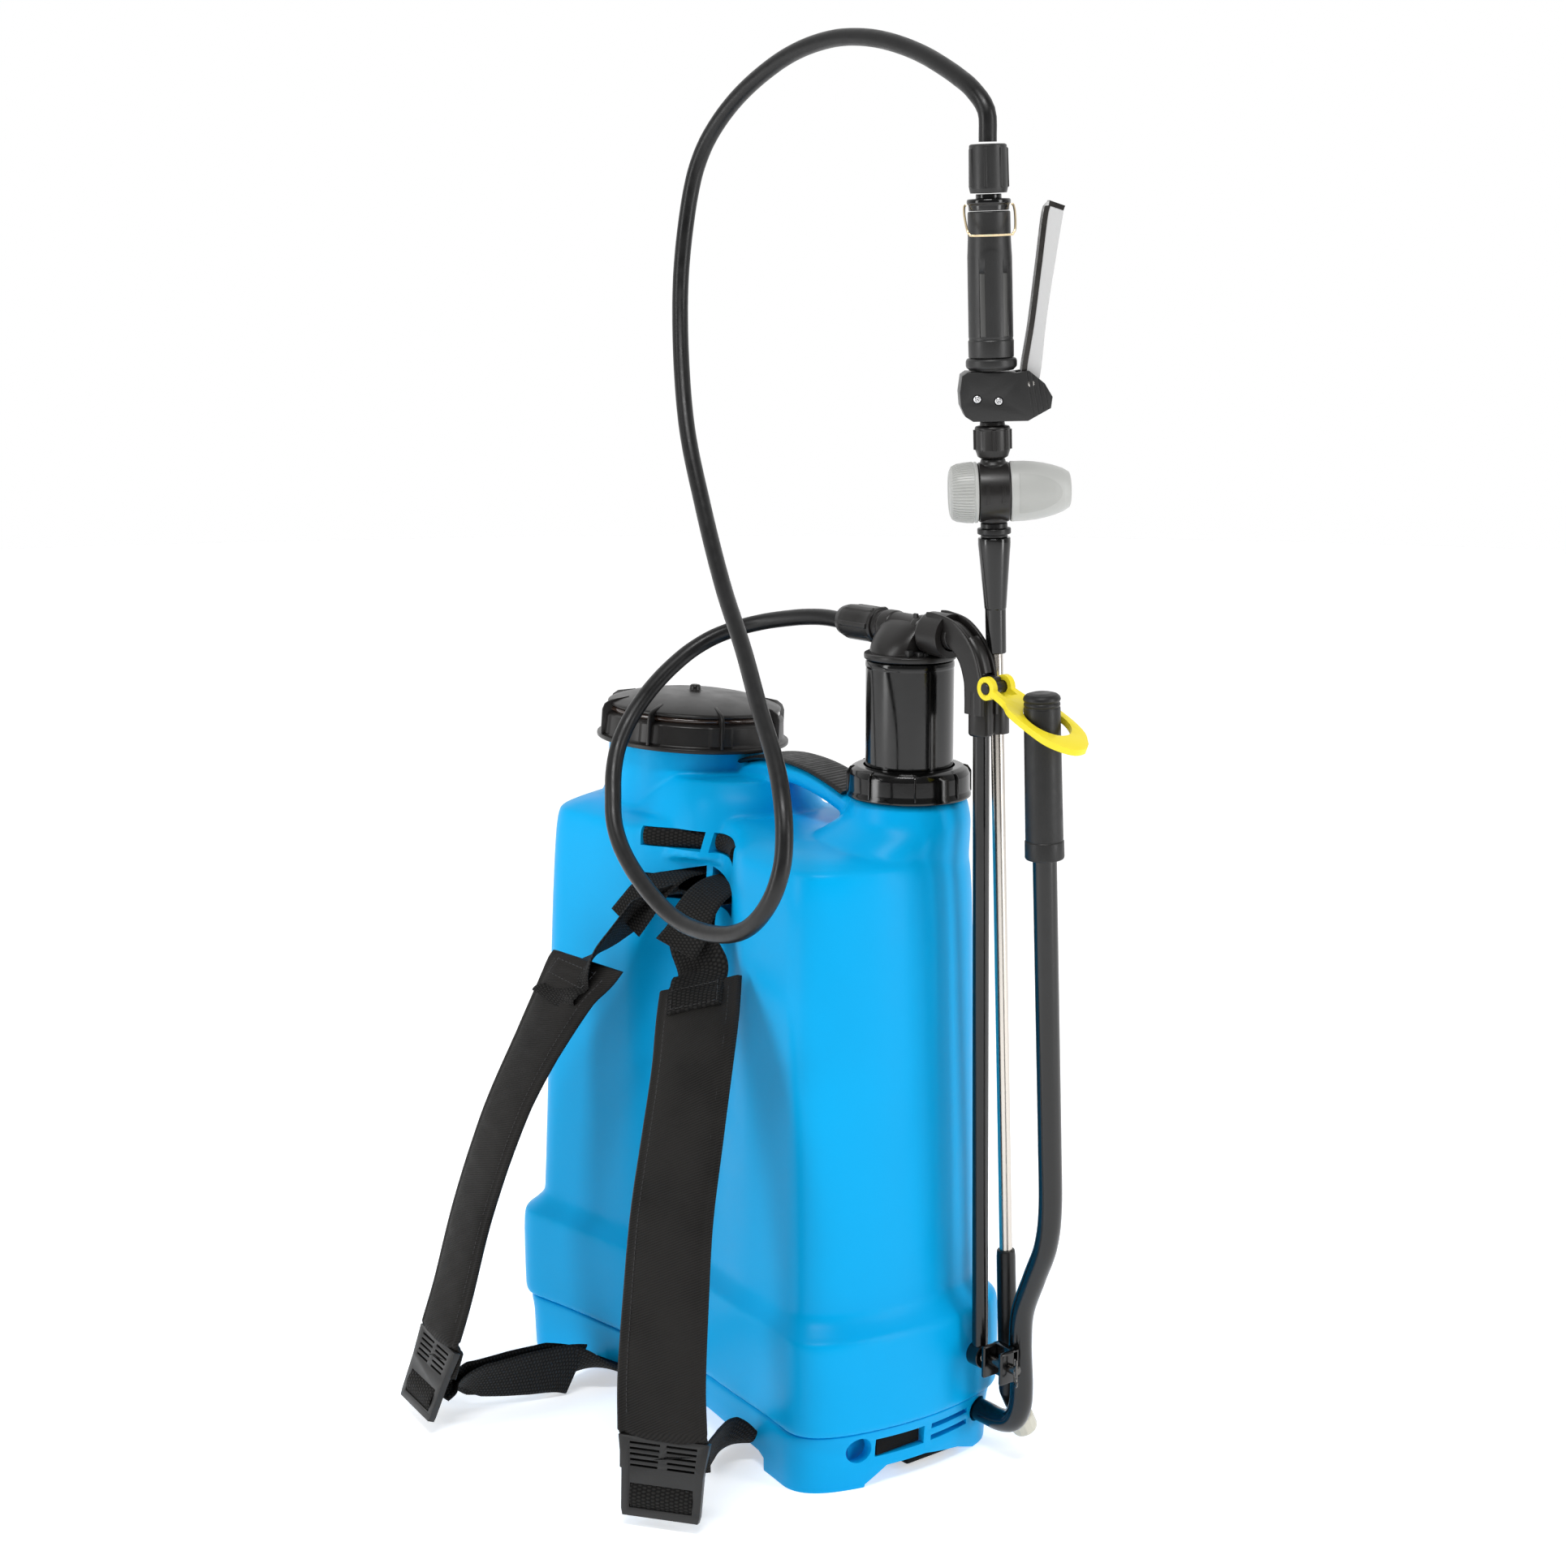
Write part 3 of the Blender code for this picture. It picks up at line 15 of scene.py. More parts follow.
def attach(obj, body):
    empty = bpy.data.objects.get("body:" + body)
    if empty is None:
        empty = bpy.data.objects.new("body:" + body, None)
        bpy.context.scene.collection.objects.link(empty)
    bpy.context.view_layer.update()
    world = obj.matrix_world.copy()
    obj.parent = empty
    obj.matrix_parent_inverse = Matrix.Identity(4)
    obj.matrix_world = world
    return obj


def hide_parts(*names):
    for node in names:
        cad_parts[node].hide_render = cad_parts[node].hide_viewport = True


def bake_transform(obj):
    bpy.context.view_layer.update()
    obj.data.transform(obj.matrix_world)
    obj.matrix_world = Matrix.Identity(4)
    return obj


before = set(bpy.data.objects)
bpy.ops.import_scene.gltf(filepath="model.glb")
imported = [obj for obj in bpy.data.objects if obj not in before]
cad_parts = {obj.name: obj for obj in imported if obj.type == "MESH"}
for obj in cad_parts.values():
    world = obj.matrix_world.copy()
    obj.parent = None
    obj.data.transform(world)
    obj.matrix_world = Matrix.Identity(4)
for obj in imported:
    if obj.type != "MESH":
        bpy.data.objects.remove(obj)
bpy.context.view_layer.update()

# The tank's own middle in the row's frame. Every place below is given from there.
TANK_X, TANK_Y = -0.0461, 0.0669
SHIFT = Vector((TANK_X, TANK_Y, 0))

LID = Vector((-0.070, 0.002, 0.4376))
LID_LEAN = Vector((0.027, 0.051, 1.0)).normalized()
PUMP_X, PUMP_Y = 0.125, 0.0243
HEAD_Z = 0.530
ROD_X = 0.189
ROD_LEAN = math.radians(0.98)
PIVOT = Vector((0.178, 0.050, 0.026))
LEVER_LEAN = 0.0503
LEVER_R = 0.0073
LEVER_X = 0.2395
PIN_Y, PIN_Z = 0.032, 0.075
LANCE = Vector((0.189, 0.0377, 0.495))
LANCE_LEAN = 0.0435
SIDE_DEG = 51.3
HOSE_R = 0.0053


# ---------------------------------------------------------------- mesh helpers


def mm(points):
    """Points given in millimetres, in metres."""
    return [tuple(x / 1000 for x in p) for p in points]


def aim(at, axis, x_axis=None):
    """A matrix at a point whose local Z runs along axis, with local X near x_axis."""
    z = Vector(axis).normalized()
    x = Vector(x_axis) if x_axis else Vector((1, 0, 0) if abs(z.x) < 0.9 else (0, 1, 0))
    x = (x - z * x.dot(z)).normalized()
    turn = Matrix((x, z.cross(x), z)).transposed()
    return Matrix.Translation(at) @ turn.to_4x4()


def declare(piece, body, nodes=()):
    """Say which body carries a piece and the CAD nodes that it stands for."""
    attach(piece, body)
    if nodes:
        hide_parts(*nodes)


def finish_mesh(name, bm, mat, body=None, matrix=None, nodes=(), sharp=40):
    bmesh.ops.transform(bm, matrix=Matrix.Translation(SHIFT) @ (matrix or Matrix()), verts=bm.verts)
    bmesh.ops.recalc_face_normals(bm, faces=bm.faces)
    mesh = bpy.data.meshes.new(name)
    bm.to_mesh(mesh)
    bm.free()
    mesh.shade_smooth()
    if sharp:
        mesh.set_sharp_from_angle(angle=math.radians(sharp))
    mesh.materials.append(mat)
    piece = bpy.data.objects.new(name, mesh)
    bpy.context.scene.collection.objects.link(piece)
    if body:
        declare(piece, body, nodes)
    return piece


def rounded(profile, radius, steps=3):
    """The same profile with each inner corner made a small arc."""
    pts = [Vector(p) for p in profile]
    out = [pts[0]]
    for a, b, c in zip(pts, pts[1:], pts[2:]):
        near, far = a - b, c - b
        if near.length < 1e-7 or far.length < 1e-7 or near.angle(far, math.pi) > math.radians(172):
            out.append(b)
            continue
        cut = min(radius, near.length * 0.48, far.length * 0.48)
        start, end = b + near.normalized() * cut, b + far.normalized() * cut
        for i in range(steps + 1):
            t = i / steps
            out.append(start * (1 - t) ** 2 + b * 2 * t * (1 - t) + end * t * t)
    out.append(pts[-1])
    return out


def turn_profile(bm, profile, steps=64, flute=None, matrix=None, bore=False):
    """Turn (radius, height) points about Z into bm. flute(angle, height) adds to the radius."""
    rings = []
    for radius, height in profile:
        if radius < 1e-6:
            rings.append([bm.verts.new((0, 0, height))])
            continue
        ring = []
        for i in range(steps):
            a = 2 * math.pi * i / steps
            r = radius + (flute(a, height) if flute else 0.0)
            ring.append(bm.verts.new((r * math.cos(a), r * math.sin(a), height)))
        rings.append(ring)
    pairs = list(zip(rings, rings[1:]))
    if bore:
        pairs.append((rings[-1], rings[0]))
    for a, b in pairs:
        for i in range(steps):
            k = (i + 1) % steps
            corners = [a[i % len(a)], a[k % len(a)], b[k % len(b)], b[i % len(b)]]
            corners = [v for n, v in enumerate(corners) if v not in corners[:n]]
            if len(corners) > 2:
                bm.faces.new(corners)
    for ring in () if bore else (rings[0], rings[-1]):
        if len(ring) > 1:
            bm.faces.new(ring)
    if matrix:
        verts = [v for ring in rings for v in ring]
        bmesh.ops.transform(bm, matrix=matrix, verts=verts)
    return bm


def cylinder(radius, top, bottom, steps=64, matrix=None):
    """A bmesh with one solid cylinder about Z."""
    profile = [(0, top), (radius, top), (radius, bottom), (0, bottom)]
    return turn_profile(bmesh.new(), profile, steps, matrix=matrix)


def lathe(name, profile, mat, body, matrix=None, nodes=(), steps=64, flute=None, fillet=0.0006,
          bore=False):
    """A turned piece with its corners rounded."""
    bm = turn_profile(bmesh.new(), rounded(profile, fillet), steps, flute, None, bore)
    return finish_mesh(name, bm, mat, body, matrix, nodes)


def add_box(bm, size, centre, bevel=0.0, matrix=None, segments=2):
    """Add a box with its edges rounded by bevel."""
    made = bmesh.ops.create_cube(bm, size=1.0)["verts"]
    bmesh.ops.scale(bm, vec=size, verts=made)
    bmesh.ops.translate(bm, vec=centre, verts=made)
    if bevel:
        edges = list({e for v in made for e in v.link_edges})
        made = bmesh.ops.bevel(bm, geom=edges, offset=bevel, segments=segments, affect="EDGES",
                               profile=0.5)["verts"]
    if matrix:
        bmesh.ops.transform(bm, matrix=matrix, verts=list({v for v in made if v.is_valid}))
    return bm


def add_loft(bm, rings):
    """Join rings of points with quads and cap both ends."""
    rows = [[bm.verts.new(p) for p in ring] for ring in rings]
    for low, high in zip(rows, rows[1:]):
        for i in range(len(low)):
            k = (i + 1) % len(low)
            bm.faces.new((low[i], low[k], high[k], high[i]))
    bm.faces.new(rows[0][::-1])
    bm.faces.new(rows[-1])
    return bm


def add_prism(bm, outline, thickness, matrix=None, bevel=0.0):
    """Add an outline in XY made thick along Z, half of it on each side of zero."""
    half = thickness / 2
    start = set(bm.verts)
    add_loft(bm, [[(x, y, -half) for x, y in outline], [(x, y, half) for x, y in outline]])
    made = [v for v in bm.verts if v not in start]
    if bevel:
        rim = [e for e in bm.edges if e.verts[0] in made and abs(e.verts[0].co.z - e.verts[1].co.z) < 1e-9]
        bmesh.ops.bevel(bm, geom=rim, offset=bevel, segments=2, affect="EDGES", profile=0.5)
        made = [v for v in bm.verts if v not in start]
    if matrix:
        bmesh.ops.transform(bm, matrix=matrix, verts=made)
    return bm


def spline(points, count):
    """Points at equal steps along a smooth curve through the given ones."""
    pts = [Vector(p) for p in points]
    pts = [2 * pts[0] - pts[1], *pts, 2 * pts[-1] - pts[-2]]
    fine = []
    for p0, p1, p2, p3 in zip(pts, pts[1:], pts[2:], pts[3:]):
        for i in range(24):
            t = i / 24
            a = (-p0 + 3 * p1 - 3 * p2 + p3) * t**3
            b = (2 * p0 - 5 * p1 + 4 * p2 - p3) * t**2
            fine.append((a + b + (p2 - p0) * t + 2 * p1) / 2)
    fine.append(pts[-2])
    run = [0.0]
    for a, b in zip(fine, fine[1:]):
        run.append(run[-1] + (b - a).length)
    out, k = [], 0
    for i in range(count):
        want = run[-1] * i / (count - 1)
        while k < len(run) - 2 and run[k + 1] < want:
            k += 1
        share = (want - run[k]) / max(run[k + 1] - run[k], 1e-9)
        out.append(fine[k].lerp(fine[k + 1], min(max(share, 0.0), 1.0)))
    return out


def add_tube(bm, points, radius, sides=16):
    """A capped tube along points."""
    last = len(points) - 1
    side = Vector((0.3, 1, 0.2))
    rings = []
    for i, p in enumerate(points):
        ahead = (points[min(i + 1, last)] - points[max(i - 1, 0)]).normalized()
        side = (side - ahead * side.dot(ahead)).normalized()
        other = ahead.cross(side)
        angles = [2 * math.pi * k / sides for k in range(sides)]
        rings.append([p + (side * math.cos(a) + other * math.sin(a)) * radius for a in angles])
    return add_loft(bm, rings)


def modify(piece, kind, **values):
    """Add a modifier of some kind with its settings."""
    step = piece.modifiers.new(kind.lower(), kind)
    for key, value in values.items():
        setattr(step, key, value)


def apply_all(piece):
    """Apply the piece's modifiers to its mesh."""
    bpy.context.view_layer.update()
    shape = piece.evaluated_get(bpy.context.evaluated_depsgraph_get())
    mesh = bpy.data.meshes.new_from_object(shape)
    piece.modifiers.clear()
    piece.data = mesh


def boolean(piece, bm, matrix=None, operation="DIFFERENCE"):
    """Cut a bmesh's shape, given in the tank's own frame, out of a piece, or join it on."""
    tool = finish_mesh("tool", bm, piece.data.materials[0], matrix=matrix)
    modify(piece, "BOOLEAN", object=tool, operation=operation, solver="MANIFOLD")
    apply_all(piece)
    bpy.data.objects.remove(tool)


def soften(piece, width, angle=35, segments=2):
    """Small round on every sharp edge, then smooth shading with the edges that stay sharp kept."""
    modify(piece, "BEVEL", width=width, segments=segments, limit_method="ANGLE",
           angle_limit=math.radians(angle))
    apply_all(piece)
    piece.data.shade_smooth()
    piece.data.set_sharp_from_angle(angle=math.radians(50))


def oval(half_x, half_y, centre, z, count=96, power=2.6):
    """A superellipse at some height: power 2 is an ellipse, a higher power nears a rectangle."""
    out = []
    for i in range(count):
        a = 2 * math.pi * i / count
        c, s = math.cos(a), math.sin(a)
        x = half_x * math.copysign(abs(c) ** (2 / power), c)
        y = half_y * math.copysign(abs(s) ** (2 / power), s)
        out.append(Vector((centre[0] + x, centre[1] + y, z)))
    return out


def frames_along(points, across):
    """(point, side, up) along a line; across lists the side direction at even steps from start to end."""
    last = len(points) - 1
    for i, p in enumerate(points):
        ahead = (points[min(i + 1, last)] - points[max(i - 1, 0)]).normalized()
        step = i / last * (len(across) - 1)
        k = min(int(step), len(across) - 2)
        side = Vector(across[k]).lerp(Vector(across[k + 1]), step - k)
        side = (side - ahead * side.dot(ahead)).normalized()
        yield p, side, ahead.cross(side).normalized()


def add_strip(bm, points, across, section):
    """Sweep a flat section, a list of (sideways, up), along a line; UV runs across and along in metres."""
    uv = bm.loops.layers.uv.verify()
    place, rows, run = {}, [], 0.0
    for i, (p, side, up) in enumerate(frames_along(points, across)):
        run += (points[i] - points[i - 1]).length if i else 0.0
        outline = section(i / (len(points) - 1), run) if callable(section) else section
        row = [bm.verts.new(p + side * s + up * u) for s, u in outline]
        place.update({v: (s, run) for v, (s, u) in zip(row, outline)})
        rows.append(row)
    faces = [bm.faces.new(rows[0][::-1]), bm.faces.new(rows[-1])]
    for low, high in zip(rows, rows[1:]):
        for i in range(len(low)):
            k = (i + 1) % len(low)
            faces.append(bm.faces.new((low[i], low[k], high[k], high[i])))
    for face in faces:
        for loop in face.loops:
            loop[uv].uv = place[loop.vert]
    return bm


def flat_section(width, thickness, count=10):
    """A strap's section: flat faces with rounded edges."""
    w, t = width / 2, thickness / 2
    top = [(w - t - (2 * w - 2 * t) * i / count, t) for i in range(count + 1)]
    low = [(-x, -y) for x, y in top]
    return [(w, 0.0), *top, (-w, 0.0), *low]


# ---------------------------------------------------------------- materials


class Shader:
    """A Principled material with a few shorthand steps for noise, ramps and bump."""

    def __init__(self, name, rgb, roughness, metallic=0.0, **sockets):
        self.mat = bpy.data.materials.new(name)
        self.mat.use_nodes = True
        self.nodes = self.mat.node_tree.nodes
        self.links = self.mat.node_tree.links
        self.main = self.nodes["Principled BSDF"]
        self.main.inputs["Base Color"].default_value = (*rgb, 1.0)
        self.main.inputs["Roughness"].default_value = roughness
        self.main.inputs["Metallic"].default_value = metallic
        for key, value in sockets.items():
            self.main.inputs[key.replace("_", " ")].default_value = value
        self.where = self.nodes.new("ShaderNodeTexCoord")

    def node(self, kind, **values):
        made = self.nodes.new("ShaderNode" + kind)
        for key, value in values.items():
            if key in made.inputs:
                made.inputs[key].default_value = value
            else:
                setattr(made, key, value)
        return made

    def noise(self, scale, detail=3.0, stretch=(1, 1, 1)):
        place = self.node("Mapping", Scale=stretch)
        self.links.new(self.where.outputs["Object"], place.inputs["Vector"])
        made = self.node("TexNoise", Scale=scale, Detail=detail)
        self.links.new(place.outputs["Vector"], made.inputs["Vector"])
        return made.outputs["Fac"]

    def math(self, kind, a, b=None, c=None):
        made = self.node("Math", operation=kind)
        for socket, value in zip(made.inputs, (a, b, c)):
            if value is None:
                continue
            if isinstance(value, (int, float)):
                socket.default_value = value
            else:
                self.links.new(value, socket)
        return made.outputs[0]

    def tint(self, value, dark, light, at=(0.3, 0.7)):
        """Base colour from dark to light by value."""
        made = self.node("ValToRGB")
        for element, place, rgb in zip(made.color_ramp.elements, at, (dark, light)):
            element.position = place
            element.color = (*rgb, 1)
        self.links.new(value, made.inputs["Fac"])
        self.links.new(made.outputs["Color"], self.main.inputs["Base Color"])

    def roughness(self, value, low, high):
        made = self.node("MapRange")
        for key, number in (("From Min", 0.3), ("From Max", 0.7), ("To Min", low), ("To Max", high)):
            made.inputs[key].default_value = number
        self.links.new(value, made.inputs["Value"])
        self.links.new(made.outputs["Result"], self.main.inputs["Roughness"])

    def bump(self, value, distance, strength=1.0):
        made = self.node("Bump", Distance=distance, Strength=strength)
        self.links.new(value, made.inputs["Height"])
        old = self.main.inputs["Normal"]
        if old.is_linked:
            self.links.new(old.links[0].from_socket, made.inputs["Normal"])
        self.links.new(made.outputs["Normal"], old)


def shade(rgb, by):
    """The colour made lighter or darker."""
    return tuple(min(max(c * by, 0.0), 1.0) for c in rgb)


def moulded(name, rgb, roughness, grain=900, depth=0.00004, spread=0.06, **sockets):
    """Moulded plastic: fine grain, faint flow marks in gloss and a little colour variation."""
    s = Shader(name, rgb, roughness, **sockets)
    flow = s.noise(9, 3)
    s.tint(flow, shade(rgb, 1 - spread), shade(rgb, 1 + spread))
    s.roughness(s.noise(60, 4), roughness - 0.05, roughness + 0.07)
    s.bump(s.noise(grain, 2), depth, 0.6)
    return s.mat


def tank_plastic():
    """The tank's blue, with a slight ripple and a fine grain."""
    rgb = (0.0, 0.35, 0.70)
    s = Shader("tank_plastic", rgb, 0.36, Specular_IOR_Level=0.10)
    s.tint(s.noise(5, 4), (0.0, 0.355, 0.73), (0.0, 0.385, 0.78))
    s.roughness(s.noise(40, 5), 0.30, 0.40)
    s.bump(s.noise(35, 3), 0.0004, 0.25)
    s.bump(s.noise(1400, 2), 0.00005, 0.5)
    return s.mat


def glossy(name, rgb, roughness, coat=0.0):
    """Bright plastic or paint, with uneven gloss and a slight ripple."""
    s = Shader(name, rgb, roughness, Coat_Weight=coat, Coat_Roughness=0.08)
    s.roughness(s.noise(120, 4), roughness * 0.8, roughness * 1.4)
    s.bump(s.noise(260, 3), 0.00006, 0.35)
    return s.mat


def metal(name, rgb, roughness, brushed=0.0, along=(1, 1, 1)):
    """Metal with uneven polish; brushed is the depth of marks stretched along an axis."""
    s = Shader(name, rgb, roughness, 1.0)
    s.roughness(s.noise(90, 4, along), max(roughness - 0.06, 0.04), roughness + 0.08)
    if brushed:
        s.bump(s.noise(500, 3, along), brushed, 0.5)
    return s.mat


def rubber(name, rgb, roughness, depth=0.00012):
    """Dull rubber with a fine grain of some depth."""
    s = Shader(name, rgb, roughness, Specular_IOR_Level=0.38)
    s.tint(s.noise(25, 4), shade(rgb, 0.75), shade(rgb, 1.35))
    s.roughness(s.noise(150, 3), roughness - 0.06, roughness + 0.08)
    s.bump(s.noise(700, 3), depth, 0.6)
    return s.mat


def webbing(name, rgb, rib=0.0022, across=0.0030):
    """Woven strap: ribs across its length with a twill break; UV x runs across and y along, in metres."""
    s = Shader(name, rgb, 0.75, Sheen_Weight=0.02, Specular_IOR_Level=0.12)
    split = s.node("SeparateXYZ")
    s.links.new(s.where.outputs["UV"], split.inputs[0])
    u, v = split.outputs[0], split.outputs[1]
    lane = s.math("MULTIPLY", u, 1 / across)
    odd = s.math("FLOOR", lane)
    half_step = s.math("MULTIPLY", s.math("MODULO", odd, 2.0), 0.5)
    row = s.math("ADD", s.math("MULTIPLY", v, 1 / rib), half_step)
    wave_v = s.math("SINE", s.math("MULTIPLY", row, 2 * math.pi))
    wave_u = s.math("SINE", s.math("MULTIPLY", s.math("FRACT", lane), math.pi))
    height = s.math("MULTIPLY", s.math("MULTIPLY_ADD", wave_v, 0.5, 0.5), wave_u)
    fuzz = s.noise(1800, 2)
    mix = s.math("MULTIPLY_ADD", fuzz, 0.5, height)
    # The colour follows the ribs' height with a little fibre fuzz: painted shade in the grooves between ribs
    # and a painted highlight on their crowns.
    s.tint(mix, shade(rgb, 0.12), shade(rgb, 2.2), (0.15, 1.1))
    s.bump(mix, 0.0006, 1.0)
    return s.mat


def padded_cloth(name, rgb):
    """Coated pack cloth: a fine plain weave, faint creases and wear."""
    s = Shader(name, rgb, 0.66, Sheen_Weight=0.01, Specular_IOR_Level=0.10)
    split = s.node("SeparateXYZ")
    s.links.new(s.where.outputs["UV"], split.inputs[0])
    lean = s.math("ADD", split.outputs[0], s.math("MULTIPLY", split.outputs[1], 2.2))
    u = s.math("SINE", s.math("MULTIPLY", lean, 2 * math.pi / 0.0036))
    v = s.math("SINE", s.math("MULTIPLY", split.outputs[0], 2 * math.pi / 0.0010))
    weave = s.math("MULTIPLY_ADD", s.math("MULTIPLY_ADD", v, 0.35, u), 0.37, 0.5)
    wear = s.noise(18, 5)
    mix = s.math("MULTIPLY_ADD", wear, 1.2, s.math("MULTIPLY", weave, 0.5))
    # The colour mixes random wear blotches with the weave: painted shade on the weave's low threads and a
    # painted highlight on its raised ones.
    s.tint(mix, shade(rgb, 0.25), shade(rgb, 2.2), (0.4, 1.2))
    s.roughness(wear, 0.52, 0.72)
    s.bump(weave, 0.00025, 0.9)
    s.bump(s.noise(38, 4, (1, 1, 1.6)), 0.0016, 0.5)
    return s.mat


BLUE = tank_plastic()
BLACK = moulded("black_plastic", (0.006, 0.006, 0.006), 0.34, Specular_IOR_Level=0.36)
SATIN = moulded("satin_black_plastic", (0.011, 0.010, 0.0095), 0.34, Specular_IOR_Level=0.40)
MATT = moulded("matt_black_plastic", (0.017, 0.017, 0.017), 0.40, depth=0.00008, Specular_IOR_Level=0.40)
GLOSS = glossy("gloss_black_plastic", (0.002, 0.002, 0.002), 0.13)
PAINT = glossy("black_paint", (0.002, 0.002, 0.002), 0.18)
GRIP = rubber("grip_rubber", (0.008, 0.008, 0.008), 0.42)
HOSE = rubber("hose_rubber", (0.004, 0.004, 0.0042), 0.36, 0.00005)
SEAL = rubber("seal_rubber", (0.015, 0.015, 0.016), 0.55)
WEB = webbing("strap_webbing", (0.010, 0.0097, 0.0092))
CLOTH = padded_cloth("pad_cloth", (0.0085, 0.0080, 0.0075))
STEEL = metal("stainless_tube", (0.60, 0.56, 0.51), 0.24, 0.00002, (1, 1, 0.05))
NICKEL = metal("nickel_plate", (0.60, 0.58, 0.55), 0.22)
CHROME = metal("bright_plate", (0.62, 0.62, 0.63), 0.26)
SHEET = moulded("trigger_sheet", (0.50, 0.50, 0.50), 0.45, spread=0.01, Specular_IOR_Level=0.2)
# Dark steel for the crank pin and its clip; on the trigger the same dark is painted shade along the sheet's
# bent back edge and its tip.
DARK_STEEL_AND_EDGE_SHADE = metal("dark_steel_and_painted_edge_shade", (0.10, 0.095, 0.09), 0.25)
WIRE = metal("brass_wire", (0.74, 0.60, 0.38), 0.34)
YELLOW = moulded("yellow_plastic", (0.86, 0.71, 0.025), 0.38, spread=0.03, Specular_IOR_Level=0.3)
GREY = moulded("light_grey_plastic", (0.40, 0.405, 0.39), 0.35, spread=0.03)
CREAM = moulded("pale_plastic", (0.60, 0.58, 0.49), 0.4, spread=0.04)
FILTER = moulded("filter_plastic", (0.78, 0.78, 0.75), 0.45)
UMBER = glossy("umber_gloss", (0.030, 0.017, 0.012), 0.14, 0.6)
THREAD = rubber("thread", (0.030, 0.030, 0.031), 0.6)
PANEL = moulded("dark_grey_panel", (0.045, 0.045, 0.043), 0.45)
SILVER = moulded("mid_grey_panel", (0.36, 0.365, 0.35), 0.42, 1600, 0.00012)


# ---------------------------------------------------------------- camera, floor and light

CAMERA_AT = Vector((1.3214, -1.0334, 0.7443)) + SHIFT
CAMERA_TURN = math.radians(51.334)
CAMERA_DIP = math.radians(11.034)
LENS = 60.0


def make_camera():
    data = bpy.data.cameras.new("camera")
    data.sensor_fit = "HORIZONTAL"
    data.sensor_width = 36.0
    data.lens = LENS
    cam = bpy.data.objects.new("camera", data)
    bpy.context.scene.collection.objects.link(cam)
    level = math.cos(CAMERA_DIP)
    look = Vector((-math.sin(CAMERA_TURN) * level, math.cos(CAMERA_TURN) * level, -math.sin(CAMERA_DIP)))
    cam.location = CAMERA_AT
    cam.rotation_euler = look.to_track_quat("-Z", "Y").to_euler()
    bpy.context.scene.camera = cam


def area_light(name, at, toward, width, height, power):
    data = bpy.data.lights.new(name, "AREA")
    data.shape = "RECTANGLE"
    data.size, data.size_y, data.energy = width, height, power
    lamp = bpy.data.objects.new(name, data)
    bpy.context.scene.collection.objects.link(lamp)
    lamp.location = at
    lamp.rotation_euler = (Vector(toward) - Vector(at)).to_track_quat("-Z", "Y").to_euler()


def make_studio():
    """A pale disc of floor, a world brightest behind the sprayer, and light from above, left and right."""
    bm = bmesh.new()
    bmesh.ops.create_circle(bm, cap_ends=True, radius=6.0, segments=96)
    mesh = bpy.data.meshes.new("floor")
    bm.to_mesh(mesh)
    bm.free()
    s = Shader("floor_white", (0.93, 0.93, 0.935), 0.7, Emission_Strength=0.50, Specular_IOR_Level=0.2)
    s.main.inputs["Emission Color"].default_value = (1, 1, 1, 1)
    s.tint(s.noise(3, 3), (0.92, 0.92, 0.925), (0.94, 0.94, 0.945))
    mesh.materials.append(s.mat)
    floor = bpy.data.objects.new("floor", mesh)
    bpy.context.scene.collection.objects.link(floor)

    world = bpy.data.worlds.new("studio")
    bpy.context.scene.world = world
    world.use_nodes = True
    tree = world.node_tree
    where = tree.nodes.new("ShaderNodeTexCoord")
    facing = tree.nodes.new("ShaderNodeVectorMath")
    facing.operation = "DOT_PRODUCT"
    facing.inputs[1].default_value = (-0.788, 0.616, 0.0)
    fade = tree.nodes.new("ShaderNodeMapRange")
    for key, value in (("From Min", -0.25), ("From Max", 0.65), ("To Min", 0.20), ("To Max", 1.0)):
        fade.inputs[key].default_value = value
    tree.links.new(where.outputs["Generated"], facing.inputs[0])
    tree.links.new(facing.outputs["Value"], fade.inputs["Value"])
    tree.nodes["Background"].inputs["Color"].default_value = (1, 1, 1, 1)
    tree.links.new(fade.outputs["Result"], tree.nodes["Background"].inputs["Strength"])
    area_light("left_box", (-0.65, -2.25, 0.95), (0, 0, 0.45), 0.55, 2.2, 24)
    area_light("right_box", (2.20, 0.90, 0.95), (0, 0, 0.45), 0.60, 2.2, 26)
    area_light("top_box", (0.9, -0.9, 2.7), (0, 0, 0.3), 1.2, 0.25, 34)
    scene = bpy.context.scene
    scene.view_settings.view_transform = "Standard"
    scene.view_settings.look = "None"


make_camera()
make_studio()


# ---------------------------------------------------------------- hose

GUN_UP = Vector((0, -LANCE_LEAN, 1)).normalized()
GUN_SIDE = Vector((math.cos(math.radians(SIDE_DEG)), math.sin(math.radians(SIDE_DEG)), 0))
GUN = aim(LANCE, GUN_UP, GUN_SIDE)

HOSE_ROUTE = mm([(61.8, 24.3, 529), (32, 22, 529), (-12, 10, 521), (-33, -14.5, 509.2), (-36.5, -45, 490.5),
                 (-30.5, -75, 467.5), (-25, -92.5, 443.7), (-11, -105, 418), (3, -112, 398), (33, -118, 378),
                 (76, -122, 361), (121, -125, 360), (154, -126, 370), (175, -125, 391), (180, -120, 415),
                 (170, -112, 441), (148, -100, 464), (113, -85, 492), (76, -68, 521), (32, -50, 555),
                 (-15, -30, 601), (-52, -15, 651), (-78, 0, 712.5), (-87, 10, 765), (-81, 18, 817),
                 (-55, 25, 852), (-11, 30, 877), (33, 32, 887), (75, 32, 885.5), (117, 30, 875.5),
                 (154, 26, 861), (179, 23, 847.5)])
HOSE_ROUTE += [GUN @ Vector((0, 0, z)) for z in (0.3410, 0.3330, 0.3250)]


def run_length(points):
    """The length of a line."""
    return sum((b - a).length for a, b in zip(points, points[1:]))


